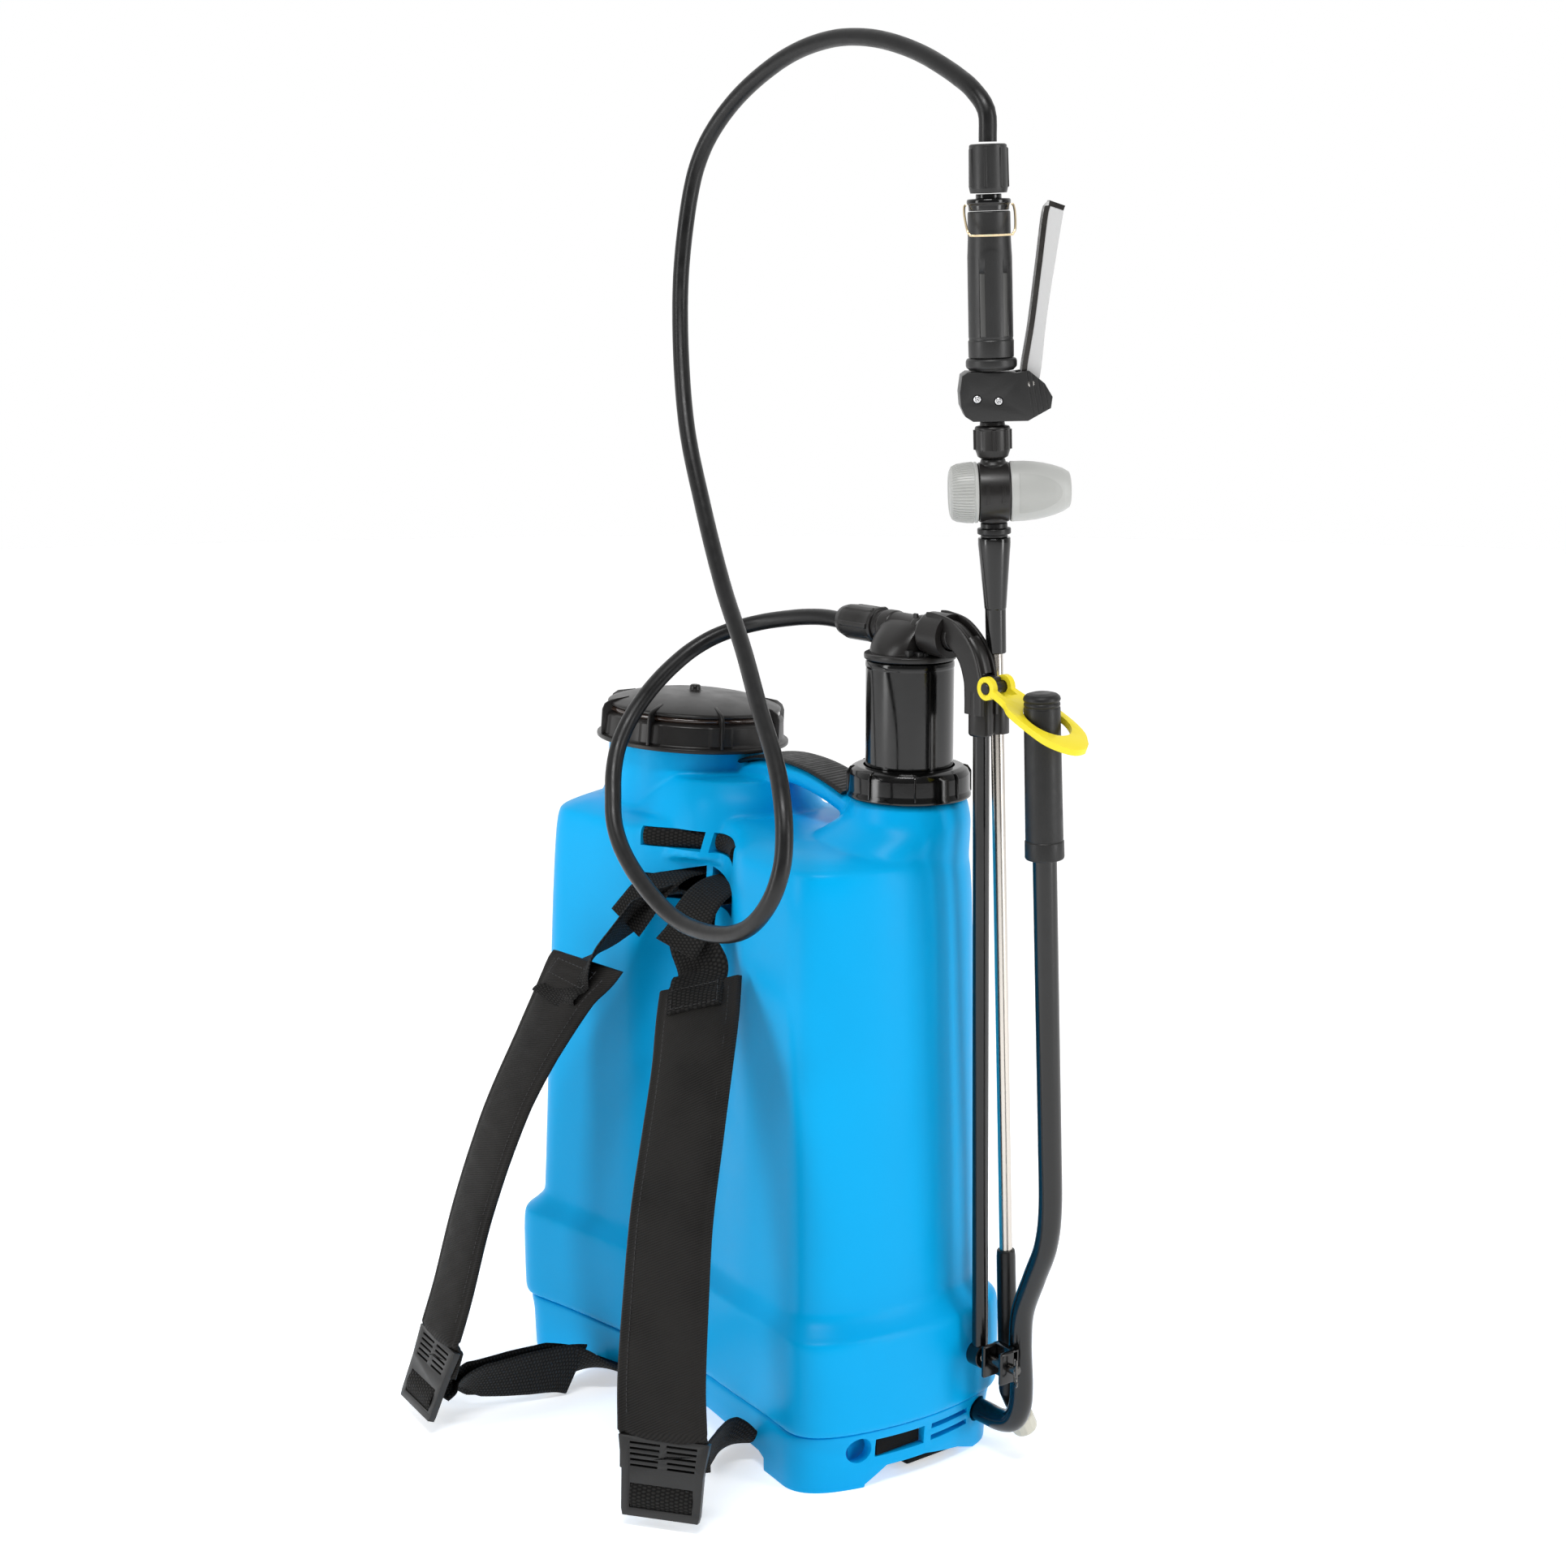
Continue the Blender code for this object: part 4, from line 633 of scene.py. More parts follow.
def make_hose():
    line = spline(HOSE_ROUTE, 78)
    half = len(line) // 2
    parts = {"hose_lower": line[: half + 1], "hose_upper": line[half:]}
    for name, part in parts.items():
        points = spline(part, 150)
        bm = add_tube(bmesh.new(), points, HOSE_R, 20)
        piece = finish_mesh(name + "_skin", bm, HOSE)
        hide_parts(name)
        path = [p + SHIFT for p in points]
        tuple(path[0])
        run_length(path)
        if name == "hose_lower":
            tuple(path[0])
            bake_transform(piece)
        else:
            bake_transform(piece)


make_hose()


# ---------------------------------------------------------------- tank and base

BAND_HALF_W, BAND_HALF_D, CORNER = 0.181, 0.087, 0.034
BAND_TOP, SHOULDER, SHOULDER_SHIFT = 0.112, 0.385, 0.006
SLOT_X = {"left": -0.013, "right": 0.034}
RECESS_X = 0.012

# (height, inset from the widest outline in X and Y, front hollow, recess depth, recess half width)
TANK_LEVELS = mm([(38.3, 3, 3, 11.5, 3, 75), (40, 0.8, 0.8, 11.6, 3, 75), (48, 0, 0, 11.7, 3, 75),
                  (95, 0, 0, 11.7, 4, 75), (103, 3.5, 3.5, 11.5, 5, 75), (112, 9.5, 9.5, 10, 6, 75),
                  (125, 10.5, 10.5, 9, 6, 75), (200, 13, 11.5, 9, 10, 72), (280, 16.5, 12, 8, 16, 68),
                  (340, 19, 12.5, 6, 22, 64), (385, 22, 14, 4, 27, 62), (393.5, 27, 19, 3, 25.5, 60),
                  (398.5, 39, 30, 2, 18, 58), (401, 58, 46, 1, 8, 56)])
SKIRT_LEVELS = mm([(0, 8.5, 5, 11.5, 3, 75), (0.6, 7.5, 4, 11.5, 3, 75), (2, 7, 3.5, 11.5, 3, 75),
                   (26, 6, 3, 11.5, 3, 75), (34, 4.5, 2.5, 11.5, 3, 75), (37.3, 3.5, 3, 11.5, 3, 75),
                   (38, 4.2, 4.2, 11.5, 3, 75)])
UNDER_LEVELS = mm([(-10, 12, 9, 11.5, 3, 75), (36.2, 11, 9, 11.5, 3, 75)])
ARCH = mm([(-36, 12, 400), (-22, 12, 416.5), (-8, 12, 424), (12, 12, 428.5), (33, 12, 429.2), (56, 13, 426.2),
           (80, 15, 418.5), (100, 18, 408)])
TUNNEL = mm([(-75, 380), (-75, 392.5), (-30, 392.5), (-30, 349), (-85, 349), (-85, 362), (-40, 362),
             (-40, 380)])
LID_AT = aim(LID, LID_LEAN)
PUMP_AT = Matrix.Translation((PUMP_X, PUMP_Y, 0))
SIDEWAYS = Matrix(((0, 0, 1), (1, 0, 0), (0, 1, 0))).to_4x4()
UPRIGHT = Matrix(((1, 0, 0), (0, 0, 1), (0, 1, 0))).to_4x4()


def bezier(a, ta, tb, b, count):
    """Points strictly between a and b on a curve that leaves along ta and arrives along tb."""
    reach = (b - a).length * 0.42
    p = [a, a + ta.normalized() * reach, b - tb.normalized() * reach, b]
    out = []
    for i in range(1, count):
        t = i / count
        s = 1 - t
        out.append(p[0] * s**3 + p[1] * 3 * s * s * t + p[2] * 3 * s * t * t + p[3] * t**3)
    return out


def tank_plan(half_w, half_d, hollow, recess, recess_w, n_front=64, n_side=16, n_corner=16):
    """The tank's plan at one height: front hollow to fit the back, ends bulging, back slightly round."""
    bulge, back_bulge = 0.007, 0.008
    flat_x = half_w - bulge - CORNER
    flat_y = half_d - CORNER

    def front(x):
        groove = 0.5 + 0.5 * math.cos(math.pi * min(abs(x - RECESS_X) / recess_w, 1.0))
        return -half_d + hollow * (1 - (x / flat_x) ** 2) + recess * groove

    xs = [flat_x * (2 * i / n_front - 1) for i in range(n_front + 1)]
    ys = [flat_y * (2 * i / n_side - 1) for i in range(n_side + 1)]
    side = [Vector((half_w - bulge * (y / flat_y) ** 2, y)) for y in ys]
    front_line = [Vector((x, front(x))) for x in xs]
    back_line = [Vector((-x, half_d - back_bulge * (x / flat_x) ** 2)) for x in xs[::2]]
    far_side = [Vector((-p.x, -p.y)) for p in side]
    ends = Vector((1, -2 * hollow / flat_x))
    lean = Vector((2 * bulge / flat_y, 1))
    tail = Vector((-1, 2 * back_bulge / flat_x))
    out = front_line + bezier(front_line[-1], ends, lean, side[0], n_corner)
    out += side + bezier(side[-1], Vector((-lean.x, 1)), tail, back_line[0], n_corner)
    out += back_line
    out += bezier(back_line[-1], Vector((-1, -tail.y)), Vector((-lean.x, -1)), far_side[0], n_corner)
    out += far_side
    out += bezier(far_side[-1], Vector((lean.x, -1)), Vector((1, -ends.y)), front_line[0], n_corner)
    return out


def blended_rows(rows, steps):
    """Rows of numbers with smooth in-between rows added."""
    rows = [np.array(r) for r in rows]
    rows = [2 * rows[0] - rows[1], *rows, 2 * rows[-1] - rows[-2]]
    out = []
    for p0, p1, p2, p3 in zip(rows, rows[1:], rows[2:], rows[3:]):
        for i in range(steps):
            t = i / steps
            a = (-p0 + 3 * p1 - 3 * p2 + p3) * t**3
            b = (2 * p0 - 5 * p1 + 4 * p2 - p3) * t**2
            out.append((a + b + (p2 - p0) * t + 2 * p1) / 2)
    return out + [rows[-2]]


def add_tank_body(bm, levels, steps=1):
    """Loft the plans at some levels. The walls lean a little to +X between the band and the shoulder."""
    rings = []
    for z, inset_x, inset_y, *front in blended_rows(levels, steps):
        outline = tank_plan(BAND_HALF_W - inset_x, BAND_HALF_D - inset_y, *front)
        shift = SHOULDER_SHIFT * min(max((z - BAND_TOP) / (SHOULDER - BAND_TOP), 0.0), 1.0)
        rings.append([(p.x + shift, p.y, z) for p in outline])
    return add_loft(bm, rings)


def add_ovals(bm, rows, steps=4):
    """Loft ovals given as (half x, half y, centre x, centre y, height, power)."""
    return add_loft(bm, [oval(r[0], r[1], (r[2], r[3]), r[4], 96, r[5]) for r in blended_rows(rows, steps)])


def make_tank():
    """Body, fill block, neck, pump turret and carrying arch fused and softened, then bored and tunnelled."""
    bm = bmesh.new()
    add_tank_body(bm, TANK_LEVELS, steps=4)
    fill_block = [(0.091, 0.067, -0.052, 0.004, 0.374, 2.6), (0.084, 0.059, -0.052, 0.004, 0.398, 2.6),
                  (0.079, 0.053, -0.052, 0.004, 0.412, 2.6), (0.070, 0.046, -0.052, 0.004, 0.4225, 2.6)]
    add_ovals(bm, fill_block)
    turn_profile(bm, [(0, 0.013), (0.056, 0.013), (0.056, -0.045), (0, -0.045)], 96, matrix=LID_AT)
    turret = [(0.054, 0.063, 0.1080, 0.0045, 0.372, 2.6), (0.050, 0.056, 0.1120, 0.0095, 0.388, 2.6),
              (0.0445, 0.047, 0.1185, 0.0175, 0.402, 2.3), (0.0395, 0.0395, 0.1240, 0.0240, 0.4135, 2.0),
              (0.0360, 0.0360, PUMP_X, PUMP_Y, 0.4262, 2.0)]
    add_ovals(bm, turret)
    rings = []
    for p, side, up in frames_along(spline(ARCH, 60), [(0, 1, 0), (0, 1, 0)]):
        rings.append([p + side * q.x + up * q.y for q in oval(0.014, 0.0065, (0, 0), 0, 32, 4.0)])
    add_loft(bm, rings)
    tank = finish_mesh("tank_shell", bm, BLUE)
    modify(tank, "REMESH", mode="VOXEL", voxel_size=0.0021)
    modify(tank, "SMOOTH", factor=0.5, iterations=5)
    apply_all(tank)
    bm = cylinder(0.050, 0.02, -0.095, 96, matrix=LID_AT)
    turn_profile(bm, [(0, 0.44), (0.0315, 0.44), (0.0315, 0.100), (0, 0.100)], 64, matrix=PUMP_AT)
    boolean(tank, bm)
    for x in SLOT_X.values():
        boolean(tank, add_prism(bmesh.new(), TUNNEL, 0.042), Matrix.Translation((x, 0, 0)) @ SIDEWAYS)
    for x, inner in ((SLOT_X["left"], 1), (SLOT_X["right"], -1)):
        low_side, high_side = x - 0.021 * inner, x + 0.021 * inner
        roof = [(low_side, 0.3465), (low_side, 0.3600), (high_side, 0.3705), (high_side, 0.3465)]
        boolean(tank, add_prism(bmesh.new(), roof, 0.062), Matrix.Translation((0, -0.068, 0)) @ UPRIGHT)
    tank.data.shade_smooth()
    tank.data.set_sharp_from_angle(angle=math.radians(45))
    declare(tank, "sprayer", ["tank"])


def make_base():
    """The skirt below the parting line, hollow, with arches, pivot holes, a strap slot and two vents."""
    base = finish_mesh("base_shell", add_tank_body(bmesh.new(), SKIRT_LEVELS, steps=2), BLUE)
    boolean(base, add_tank_body(bmesh.new(), UNDER_LEVELS))
    arch = mm([(-110, -10), (110, -10), (110, 8.5), (104, 11.2), (40, 15.5), (-40, 15.5), (-104, 11.2),
               (-110, 8.5)])
    boolean(base, add_prism(bmesh.new(), arch, 0.30), UPRIGHT)
    arch = mm([(-47, -10), (47, -10), (47, 0), (30, 6.5), (0, 12), (-30, 12), (-45, 2)])
    boolean(base, add_prism(bmesh.new(), arch, 0.50), SIDEWAYS)
    for y in (-PIVOT.y, PIVOT.y):
        boolean(base, cylinder(0.0084, 0.04, -0.04, 48), aim((PIVOT.x, y, PIVOT.z), (1, 0, 0)))
    boolean(base, add_box(bmesh.new(), (0.05, 0.037, 0.012), (0.178, -0.0205, 0.0255)))
    for z in (0.0215, 0.0295):
        boolean(base, add_box(bmesh.new(), (0.05, 0.034, 0.0035), (0.178, 0.021, z)))
    soften(base, 0.0005)
    declare(base, "sprayer", ["base_skirt"])
    slot_pad = add_box(bmesh.new(), (0.004, 0.035, 0.0105), (0.1690, -0.0205, 0.0255), 0.0006)
    finish_mesh("base_slot_pad", slot_pad, WEB, "sprayer")
    inner_rib = add_box(bmesh.new(), (0.0025, 0.034, 0.026), (0.1560, -0.0330, 0.0230), 0.0004)
    finish_mesh("base_inner_rib", inner_rib, BLUE, "sprayer")
    bm = add_box(bmesh.new(), (0.030, 0.040, 0.0045), (0.1530, 0.010, 0.0064), 0.0018, None, 3)
    stub = rounded([(0, 0.014), (0.0042, 0.014), (0.0042, -0.014), (0, -0.014)], 0.001)
    turn_profile(bm, stub, 32, None, aim((0.1635, 0.022, 0.0072), (0, 1, 0)))
    finish_mesh("base_strap_stub", bm, WEB, "sprayer")


def make_handle():
    """A soft strip on the carrying arch with fine ribs across it."""
    line = []
    fine = spline(ARCH, 241)
    for before, p, after in zip(fine[45:], fine[46:], fine[47:-2]):
        if p.x > 0.0830:
            break
        ahead = (after - before).normalized()
        line.append(p + ahead.cross(Vector((0, 1, 0))).normalized() * 0.00815)

    def section(share, run):
        rib = 0.00035 * (1 if (run / 0.0030) % 1 < 0.62 else 0)
        return [(x, y + (rib if y > 0 and abs(x) < 0.0125 else 0))
                for x, y in flat_section(0.030, 0.0025, 14)]

    bm = add_strip(bmesh.new(), line, [(0, 1, 0), (0, 1, 0)], section)
    finish_mesh("handle_strip", bm, GRIP, "sprayer", nodes=["handle_grip"], sharp=50)


# ---------------------------------------------------------------- lid, ring nut and pump

LID_SKIN = mm([(0, 33.2), (15, 33), (30, 31.8), (42, 29.8), (52, 27), (57.2, 25), (58.2, 24), (58, 22.8),
               (56, 22.2), (55.5, 20.5), (56.5, 19), (59.2, 18), (60.5, 16.8), (61.2, 5), (61.8, 3.8),
               (64.5, 3), (64.5, 0.4), (57.5, 0), (57, 15.5), (50, 16.5), (30, 24), (0, 27.5)])
LID_RIB = mm([(46, 29), (58.8, 26.4), (62.5, 23.7), (64, 20), (64.3, 3.5), (60, 3.5), (56, 19), (53, 25.5),
              (46, 28)])
STAND = Matrix.Rotation(math.pi / 2, 4, "X")
LID_RIB_DEG, NUT_RIB_DEG = -64.5, -35.7


def lid_pads(angle, height):
    """Low pads either side of each rib on the lid's skirt."""
    off = (math.degrees(angle) - LID_RIB_DEG + 22.5) % 45 - 22.5
    reach = max(0.0, 1 - max(0.0, abs(off) - 6.5) / 0.8)
    return 0.0008 * reach if 0.0045 < height < 0.0178 else 0.0


def make_lid():
    lathe("lid_cap", LID_SKIN, SATIN, "lid", LID_AT, ["fill_lid"], 360, lid_pads, 0.0007)
    bm = bmesh.new()
    for i in range(8):
        turn = Matrix.Rotation(math.radians(LID_RIB_DEG + 45 * i), 4, "Z") @ STAND
        add_prism(bm, LID_RIB, 0.0022, turn, 0.0004)
    finish_mesh("lid_ribs", bm, SATIN, "lid", LID_AT)
    ring = mm([(48, 22.6), (56.3, 22.6), (57.8, 21.4), (57.8, 20.2), (56.8, 18.8), (48, 18.8)])
    lathe("lid_groove", ring, UMBER, "lid", LID_AT, steps=128)
    vent = mm([(0, 37.2), (2.8, 37), (3.6, 36.2), (4, 33.5), (6, 33.1), (0, 32.9)])
    lathe("lid_vent_nub", vent, SATIN, "lid", LID_AT, ["lid_vent"], 32, fillet=0.0004)


NUT_SKIN = mm([(28.5, 446), (33, 446), (36.2, 444.5), (37.8, 441.5), (38, 431), (38.5, 429.5), (38.8, 428.5),
               (38.8, 426.8), (28.5, 426.6)])
NUT_RIB = mm([(34, 446), (36.8, 445.2), (39, 442), (39.2, 429), (37, 429), (35, 443)])


def make_pump():
    lathe("ring_nut_skin", NUT_SKIN, GLOSS, "sprayer", PUMP_AT, ["pump_ring_nut"], 128,
          fillet=0.0008, bore=True)
    bm = bmesh.new()
    for i in range(8):
        turn = Matrix.Rotation(math.radians(NUT_RIB_DEG + 45 * i), 4, "Z") @ STAND
        add_prism(bm, NUT_RIB, 0.0012, turn, 0.0003)
    finish_mesh("ring_nut_ribs", bm, GLOSS, "sprayer", PUMP_AT)
    skin = mm([(0, 512), (26.2, 512), (27.3, 511.4), (27.6, 509.8), (27.6, 508), (27.3, 507.2), (27.5, 205),
               (24.5, 205), (24.5, 509), (0, 509)])
    lathe("chamber_skin", skin, GLOSS, "pump", PUMP_AT, ["pressure_chamber"], 128, fillet=0.0005)
    seam = add_box(bmesh.new(), (0.0009, 0.0006, 0.085), (0.0275, 0, 0.465), 0.0002)
    turn = Matrix.Rotation(math.radians(-15), 4, "Z")
    finish_mesh("chamber_seam", seam, GLOSS, "pump", PUMP_AT @ turn)
    make_head()
    body = mm([(0, 22.3), (9.6, 22.3), (9.6, 26.2), (11.2, 26.8), (11.4, 29), (10.8, 34), (10.8, 52),
               (10.4, 57.5), (9.2, 61.8), (8, 62.5), (0, 62.5)])
    # One more ring in each straight, so that the flutes fade within a short length.
    skin = []
    for a, b in zip(body, body[1:]):
        skin += [a, tuple((x * 2 + y) / 3 for x, y in zip(a, b))]

    def flutes(angle, height):
        off = (math.degrees(angle) + 30) % 60 - 30
        return (0.0008 if abs(off) < 7 else 0.0) if 0.0292 < height < 0.0560 else 0.0

    nut_at = aim((PUMP_X, PUMP_Y, HEAD_Z), (-1, 0, 0))
    skin += body[-1:]
    lathe("pump_hose_nut", skin, SATIN, "pump", nut_at, ["hose_nut_pump"], 120, flutes, 0.0003)


def make_head():
    """A flange, a saddle that rises to the outlet tube, and the tube that the arm's collar turns on."""
    rim = mm([(0, 516.6), (26.8, 516.6), (28.4, 516), (28.6, 514.8), (28.4, 512.8), (27.2, 512.3),
              (0, 512.3)])
    bm = turn_profile(bmesh.new(), rounded(rim, 0.0006), 96)
    saddle = [(24, 24, 516, 2.2), (23.8, 23.6, 518.5, 2.3), (23.2, 21.8, 522.5, 2.4),
              (22.2, 18.8, 526.8, 2.5), (21.2, 15, 530.8, 2.6), (20.5, 11, 534.2, 2.8), (19.8, 7, 536.8, 3)]
    rows = [(x / 1000, y / 1000, 0, 0, z / 1000, power) for x, y, z, power in saddle]
    add_ovals(bm, rows, 5)
    head = finish_mesh("pump_head_skin", bm, SATIN, matrix=PUMP_AT)
    boolean(head, add_box(bmesh.new(), (0.03, 0.06, 0.03), (0.0318, 0, 0.5318)), PUMP_AT)
    across_at = aim((PUMP_X, PUMP_Y, HEAD_Z), (1, 0, 0))
    boolean(head, cylinder(0.0135, 0.0205, 0.0168, 48), across_at)
    soften(head, 0.0006)
    declare(head, "pump", ["pump_head"])
    tube = mm([(0, 41), (8.2, 41), (8.6, 16), (10.4, 14), (10.4, 10), (9.8, 9), (10, -12), (10.8, -13),
               (10.8, -20), (10, -22), (0, -22)])
    lathe("head_tube", tube, SATIN, "pump", across_at, steps=64)
    bm = add_box(bmesh.new(), (0.0035, 0.0020, 0.0050), (0.0095, -0.0040, 0.5390), 0.0006)
    for x, y, z, sx, sz in ((0.0165, -0.0165, 0.5185, 0.006, 0.004), (0.0205, -0.0110, 0.5178, 0.005, 0.003)):
        add_box(bm, (sx, 0.004, sz), (x, y, z), 0.0004)
    for i in range(4):
        add_box(bm, (0.0012, 0.0035, 0.0030), (0.0130 + 0.0035 * i, -0.0120 + 0.0015 * i, 0.5172), 0.0003)
    finish_mesh("head_catches", bm, MATT, "pump", PUMP_AT)


# ---------------------------------------------------------------- arm, rod, clip and lever

ARM_AT = Matrix.Translation((ROD_X, PUMP_Y, HEAD_Z)) @ Matrix.Rotation(ROD_LEAN, 4, "X")
ARM_BEND = mm([(-41, 0, 6.2), (-35, 0, 6.2), (-20, 0, 3), (-7, 0, -8), (-1, 0, -22), (0, 0, -34),
               (0, 0, -44)])
ROD_LEN = math.hypot(PIN_Y - PUMP_Y, HEAD_Z - PIN_Z)
CLIP_PIVOT = (0.0146, -0.0014, -0.026)
EYE_AT = ARM_AT @ aim((0, 0, -ROD_LEN), (1, 0, 0))


def sweep(bm, points, half_side, half_up, offset=0.0, power=4.0):
    """Sweep a rounded rectangle, offset along Y, along a curve in the XZ plane."""
    rings = []
    for p, side, up in frames_along(points, [(0, 1, 0), (0, 1, 0)]):
        section = oval(half_side, half_up, (offset, 0), 0, 24, power)
        rings.append([p + side * q.x + up * q.y for q in section])
    return add_loft(bm, rings)


def make_arm():
    """Two plates with a web between, from a collar on the head down to a socket for the rod; the lance's
    trough beside it, the clip's lug, and the rod with its eye."""
    bend = spline(ARM_BEND, 48)
    bm = bmesh.new()
    for y in (-0.0060, 0.0060):
        sweep(bm, bend, 0.0014, 0.0078, y)
    sweep(bm, bend, 0.0055, 0.0052, 0.0, 2.2)
    solid = bend[20:34]
    sweep(bm, [p + Vector((0.0012, 0, 0.0012)) for p in solid], 0.0056, 0.0064, 0.0, 2.6)
    profile = mm([(13.5, -26.2), (13.5, -44), (12.8, -45.8), (9.3, -45.8), (9.3, -26.2)])
    turn_profile(bm, rounded(profile, 0.0006), 72, None, aim((0, 0, 0), (1, 0, 0)), True)
    socket = mm([(0, -30), (7.6, -30), (7.7, -56), (7, -57.2), (5.4, -57.2), (5.4, -52), (0, -52)])
    turn_profile(bm, rounded(socket, 0.0005), 64)
    finish_mesh("arm_skin", bm, SATIN, "arm", ARM_AT, ["pump_arm"])
    bm = turn_profile(bmesh.new(), [(0, -0.0318), (0.0070, -0.0318), (0.0073, -0.0572), (0, -0.0572)], 64)
    trough = finish_mesh("arm_trough", bm, SATIN, matrix=ARM_AT @ Matrix.Translation((0, 0.0132, 0)))
    boolean(trough, add_box(bmesh.new(), (0.0098, 0.0200, 0.060), (0, 0.0180, -0.0445)), ARM_AT)
    soften(trough, 0.0005)
    declare(trough, "arm")
    bm = add_box(bmesh.new(), (0.0150, 0.0098, 0.0120), (0.0070, -0.0014, -0.026), 0.0015, None, 3)
    boss = mm([(0, 9.8), (3, 9.8), (3.5, 9.2), (3.5, -9.2), (3, -9.8), (0, -9.8)])
    turn_profile(bm, boss, 40, None, aim(CLIP_PIVOT, (0, 1, 0)))
    finish_mesh("arm_lug", bm, SATIN, "arm", ARM_AT)
    end = 0.0060 - ROD_LEN
    bar = [(0, -0.0335), (0.0050, -0.0335), (0.0050, end + 0.0020), (0.0046, end), (0, end)]
    bm = turn_profile(bmesh.new(), bar, 48)
    eye = mm([(4.1, 4.8), (7.4, 4.8), (7.8, 4.4), (7.8, -4.4), (7.4, -4.8), (4.1, -4.8)])
    turn_profile(bm, eye, 48, None, aim((0, 0, -ROD_LEN), (1, 0, 0)), True)
    finish_mesh("rod_skin", bm, PAINT, "arm", ARM_AT, ["connecting_rod"])
    bush = mm([(0, 5), (3.6, 5), (3.8, 4.8), (3.8, -5.1), (5.5, -5.1), (5.5, -5.6), (4.8, -6.6), (0, -6.6)])
    lathe("rod_bush", bush, NICKEL, "arm", EYE_AT, ["rod_pivot_bush"], 40)


CLIP_AT = ARM_AT @ Matrix.Translation(CLIP_PIVOT) @ Matrix.Rotation(math.radians(23.6), 4, "Y")
NEAR_EDGE = mm([(4.5, -9), (18, -10), (28, -14), (45, -14.5), (60, -13), (70, -7.5), (74.5, -2), (75.2, 3),
                (74.5, 7)])
FAR_EDGE = mm([(71, 11.5), (60, 18.5), (45, 21), (28, 19.5), (18, 11.5), (4.5, 9)])


def make_clip():
    """The loop that holds the lance, with two ears on its pivot."""
    near, far = spline([(*p, 0) for p in NEAR_EDGE], 40), spline([(*p, 0) for p in FAR_EDGE], 30)
    loop = add_prism(bmesh.new(), [p.xy for p in near + far], 0.004)
    clip = finish_mesh("clip_skin", loop, YELLOW, matrix=CLIP_AT)
    for end in (-1, 1):
        boolean(clip, cylinder(0.0070, 0.0018, -0.0018, 48), CLIP_AT @ aim((0, end * 0.0072, 0), (0, 1, 0)),
                "UNION")
    boolean(clip, add_box(bmesh.new(), (0.026, 0.0106, 0.03), (0.0, 0, 0)), CLIP_AT)
    boolean(clip, cylinder(0.0038, 0.02, -0.02, 40), CLIP_AT @ aim((0, 0, 0), (0, 1, 0)))
    window = [(p.x, p.y) for p in oval(0.0170, 0.0130, (0.0425, 0.0035), 0, 64, 2.0)]
    boolean(clip, add_prism(bmesh.new(), window, 0.03), CLIP_AT)
    soften(clip, 0.0007, 30, 3)
    declare(clip, "clip", ["retaining_clip"])


LEVER_BEND = mm([(202, 30.5), (208.5, 42), (210.3, 58), (210, 85), (212.8, 108), (224, 134), (234.5, 158),
                 (239, 185)]) + [(LEVER_X, 0.2300)]
LEVER_GRIP = mm([(0, 100.3), (6, 100.1), (9.2, 99.2), (10.7, 97.8), (11.1, 96.2), (10.6, 95.2), (10.1, 94.6),
                 (10.7, 94), (10.8, 92.7), (10.3, 92), (10.8, 91.2), (11.3, 12), (11, 11.5), (11.7, 10.8),
                 (11.8, 1), (11.3, 0), (0, 0)])


def lever_y(z):
    """The leaning lever's Y at some height."""
    return PIVOT.y - (z - PIVOT.z) * LEVER_LEAN


def make_lever():
    """The bent tube with its grip, and the bracket whose pin the rod turns on."""
    line = [Vector((x, PIVOT.y, PIVOT.z)) for x in (0.144, 0.176, 0.190)]
    line += [Vector((x, lever_y(z), z)) for x, z in LEVER_BEND]
    curve = spline(line, 90) + [Vector((LEVER_X, lever_y(0.4985), 0.4985))]
    bm = add_tube(bmesh.new(), curve, LEVER_R, 32)
    finish_mesh("lever_skin", bm, PAINT, "lever", nodes=["lever_tube"])
    grip_at = aim((LEVER_X, lever_y(0.405), 0.405), (0, -LEVER_LEAN, 1))
    lathe("lever_grip_skin", LEVER_GRIP, GRIP, "lever", grip_at, ["lever_grip"], 80, fillet=0.0004)
    back = lever_y(PIN_Z + 0.0105) - LEVER_R - 0.0003
    bm = add_box(bmesh.new(), (0.0185, back - 0.0345, 0.0210), (0.2073, (back + 0.0345) / 2, PIN_Z), 0.0006)
    for x in (0.1996, 0.2150):
        add_box(bm, (0.0031, back - 0.0245, 0.0210), (x, (back + 0.0245) / 2, PIN_Z), 0.0012, None, 3)
    finish_mesh("bracket_skin", bm, PAINT, "lever", nodes=["crank_bracket"])
    pin = mm([(0, 28.5), (2.2, 28.5), (3, 27.5), (3, 2.2), (4.5, 2.2), (4.8, 1.8), (4.8, 0.6), (4.2, 0),
              (0, 0)])
    lathe("pin_skin", pin, DARK_STEEL_AND_EDGE_SHADE, "lever", aim((0.1955, PIN_Y, PIN_Z), (1, 0, 0)), ["crank_pin"],
          40, fillet=0.0002)
    loop = mm([(0, 7.5), (0, -3), (1.2, -7), (4.8, -8.8), (6.6, -6), (4.8, -3.2), (4.6, 1), (4.4, 4.5),
               (3.4, 7.8)])
    wire = spline([(0.2205 + x, PIN_Y - 0.6 * x, PIN_Z + z) for x, z in loop], 80)
    bm = add_tube(bmesh.new(), wire, 0.0007, 14)
    finish_mesh("pin_clip_wire", bm, DARK_STEEL_AND_EDGE_SHADE, "lever", nodes=["pin_clip"])


# ---------------------------------------------------------------- straps

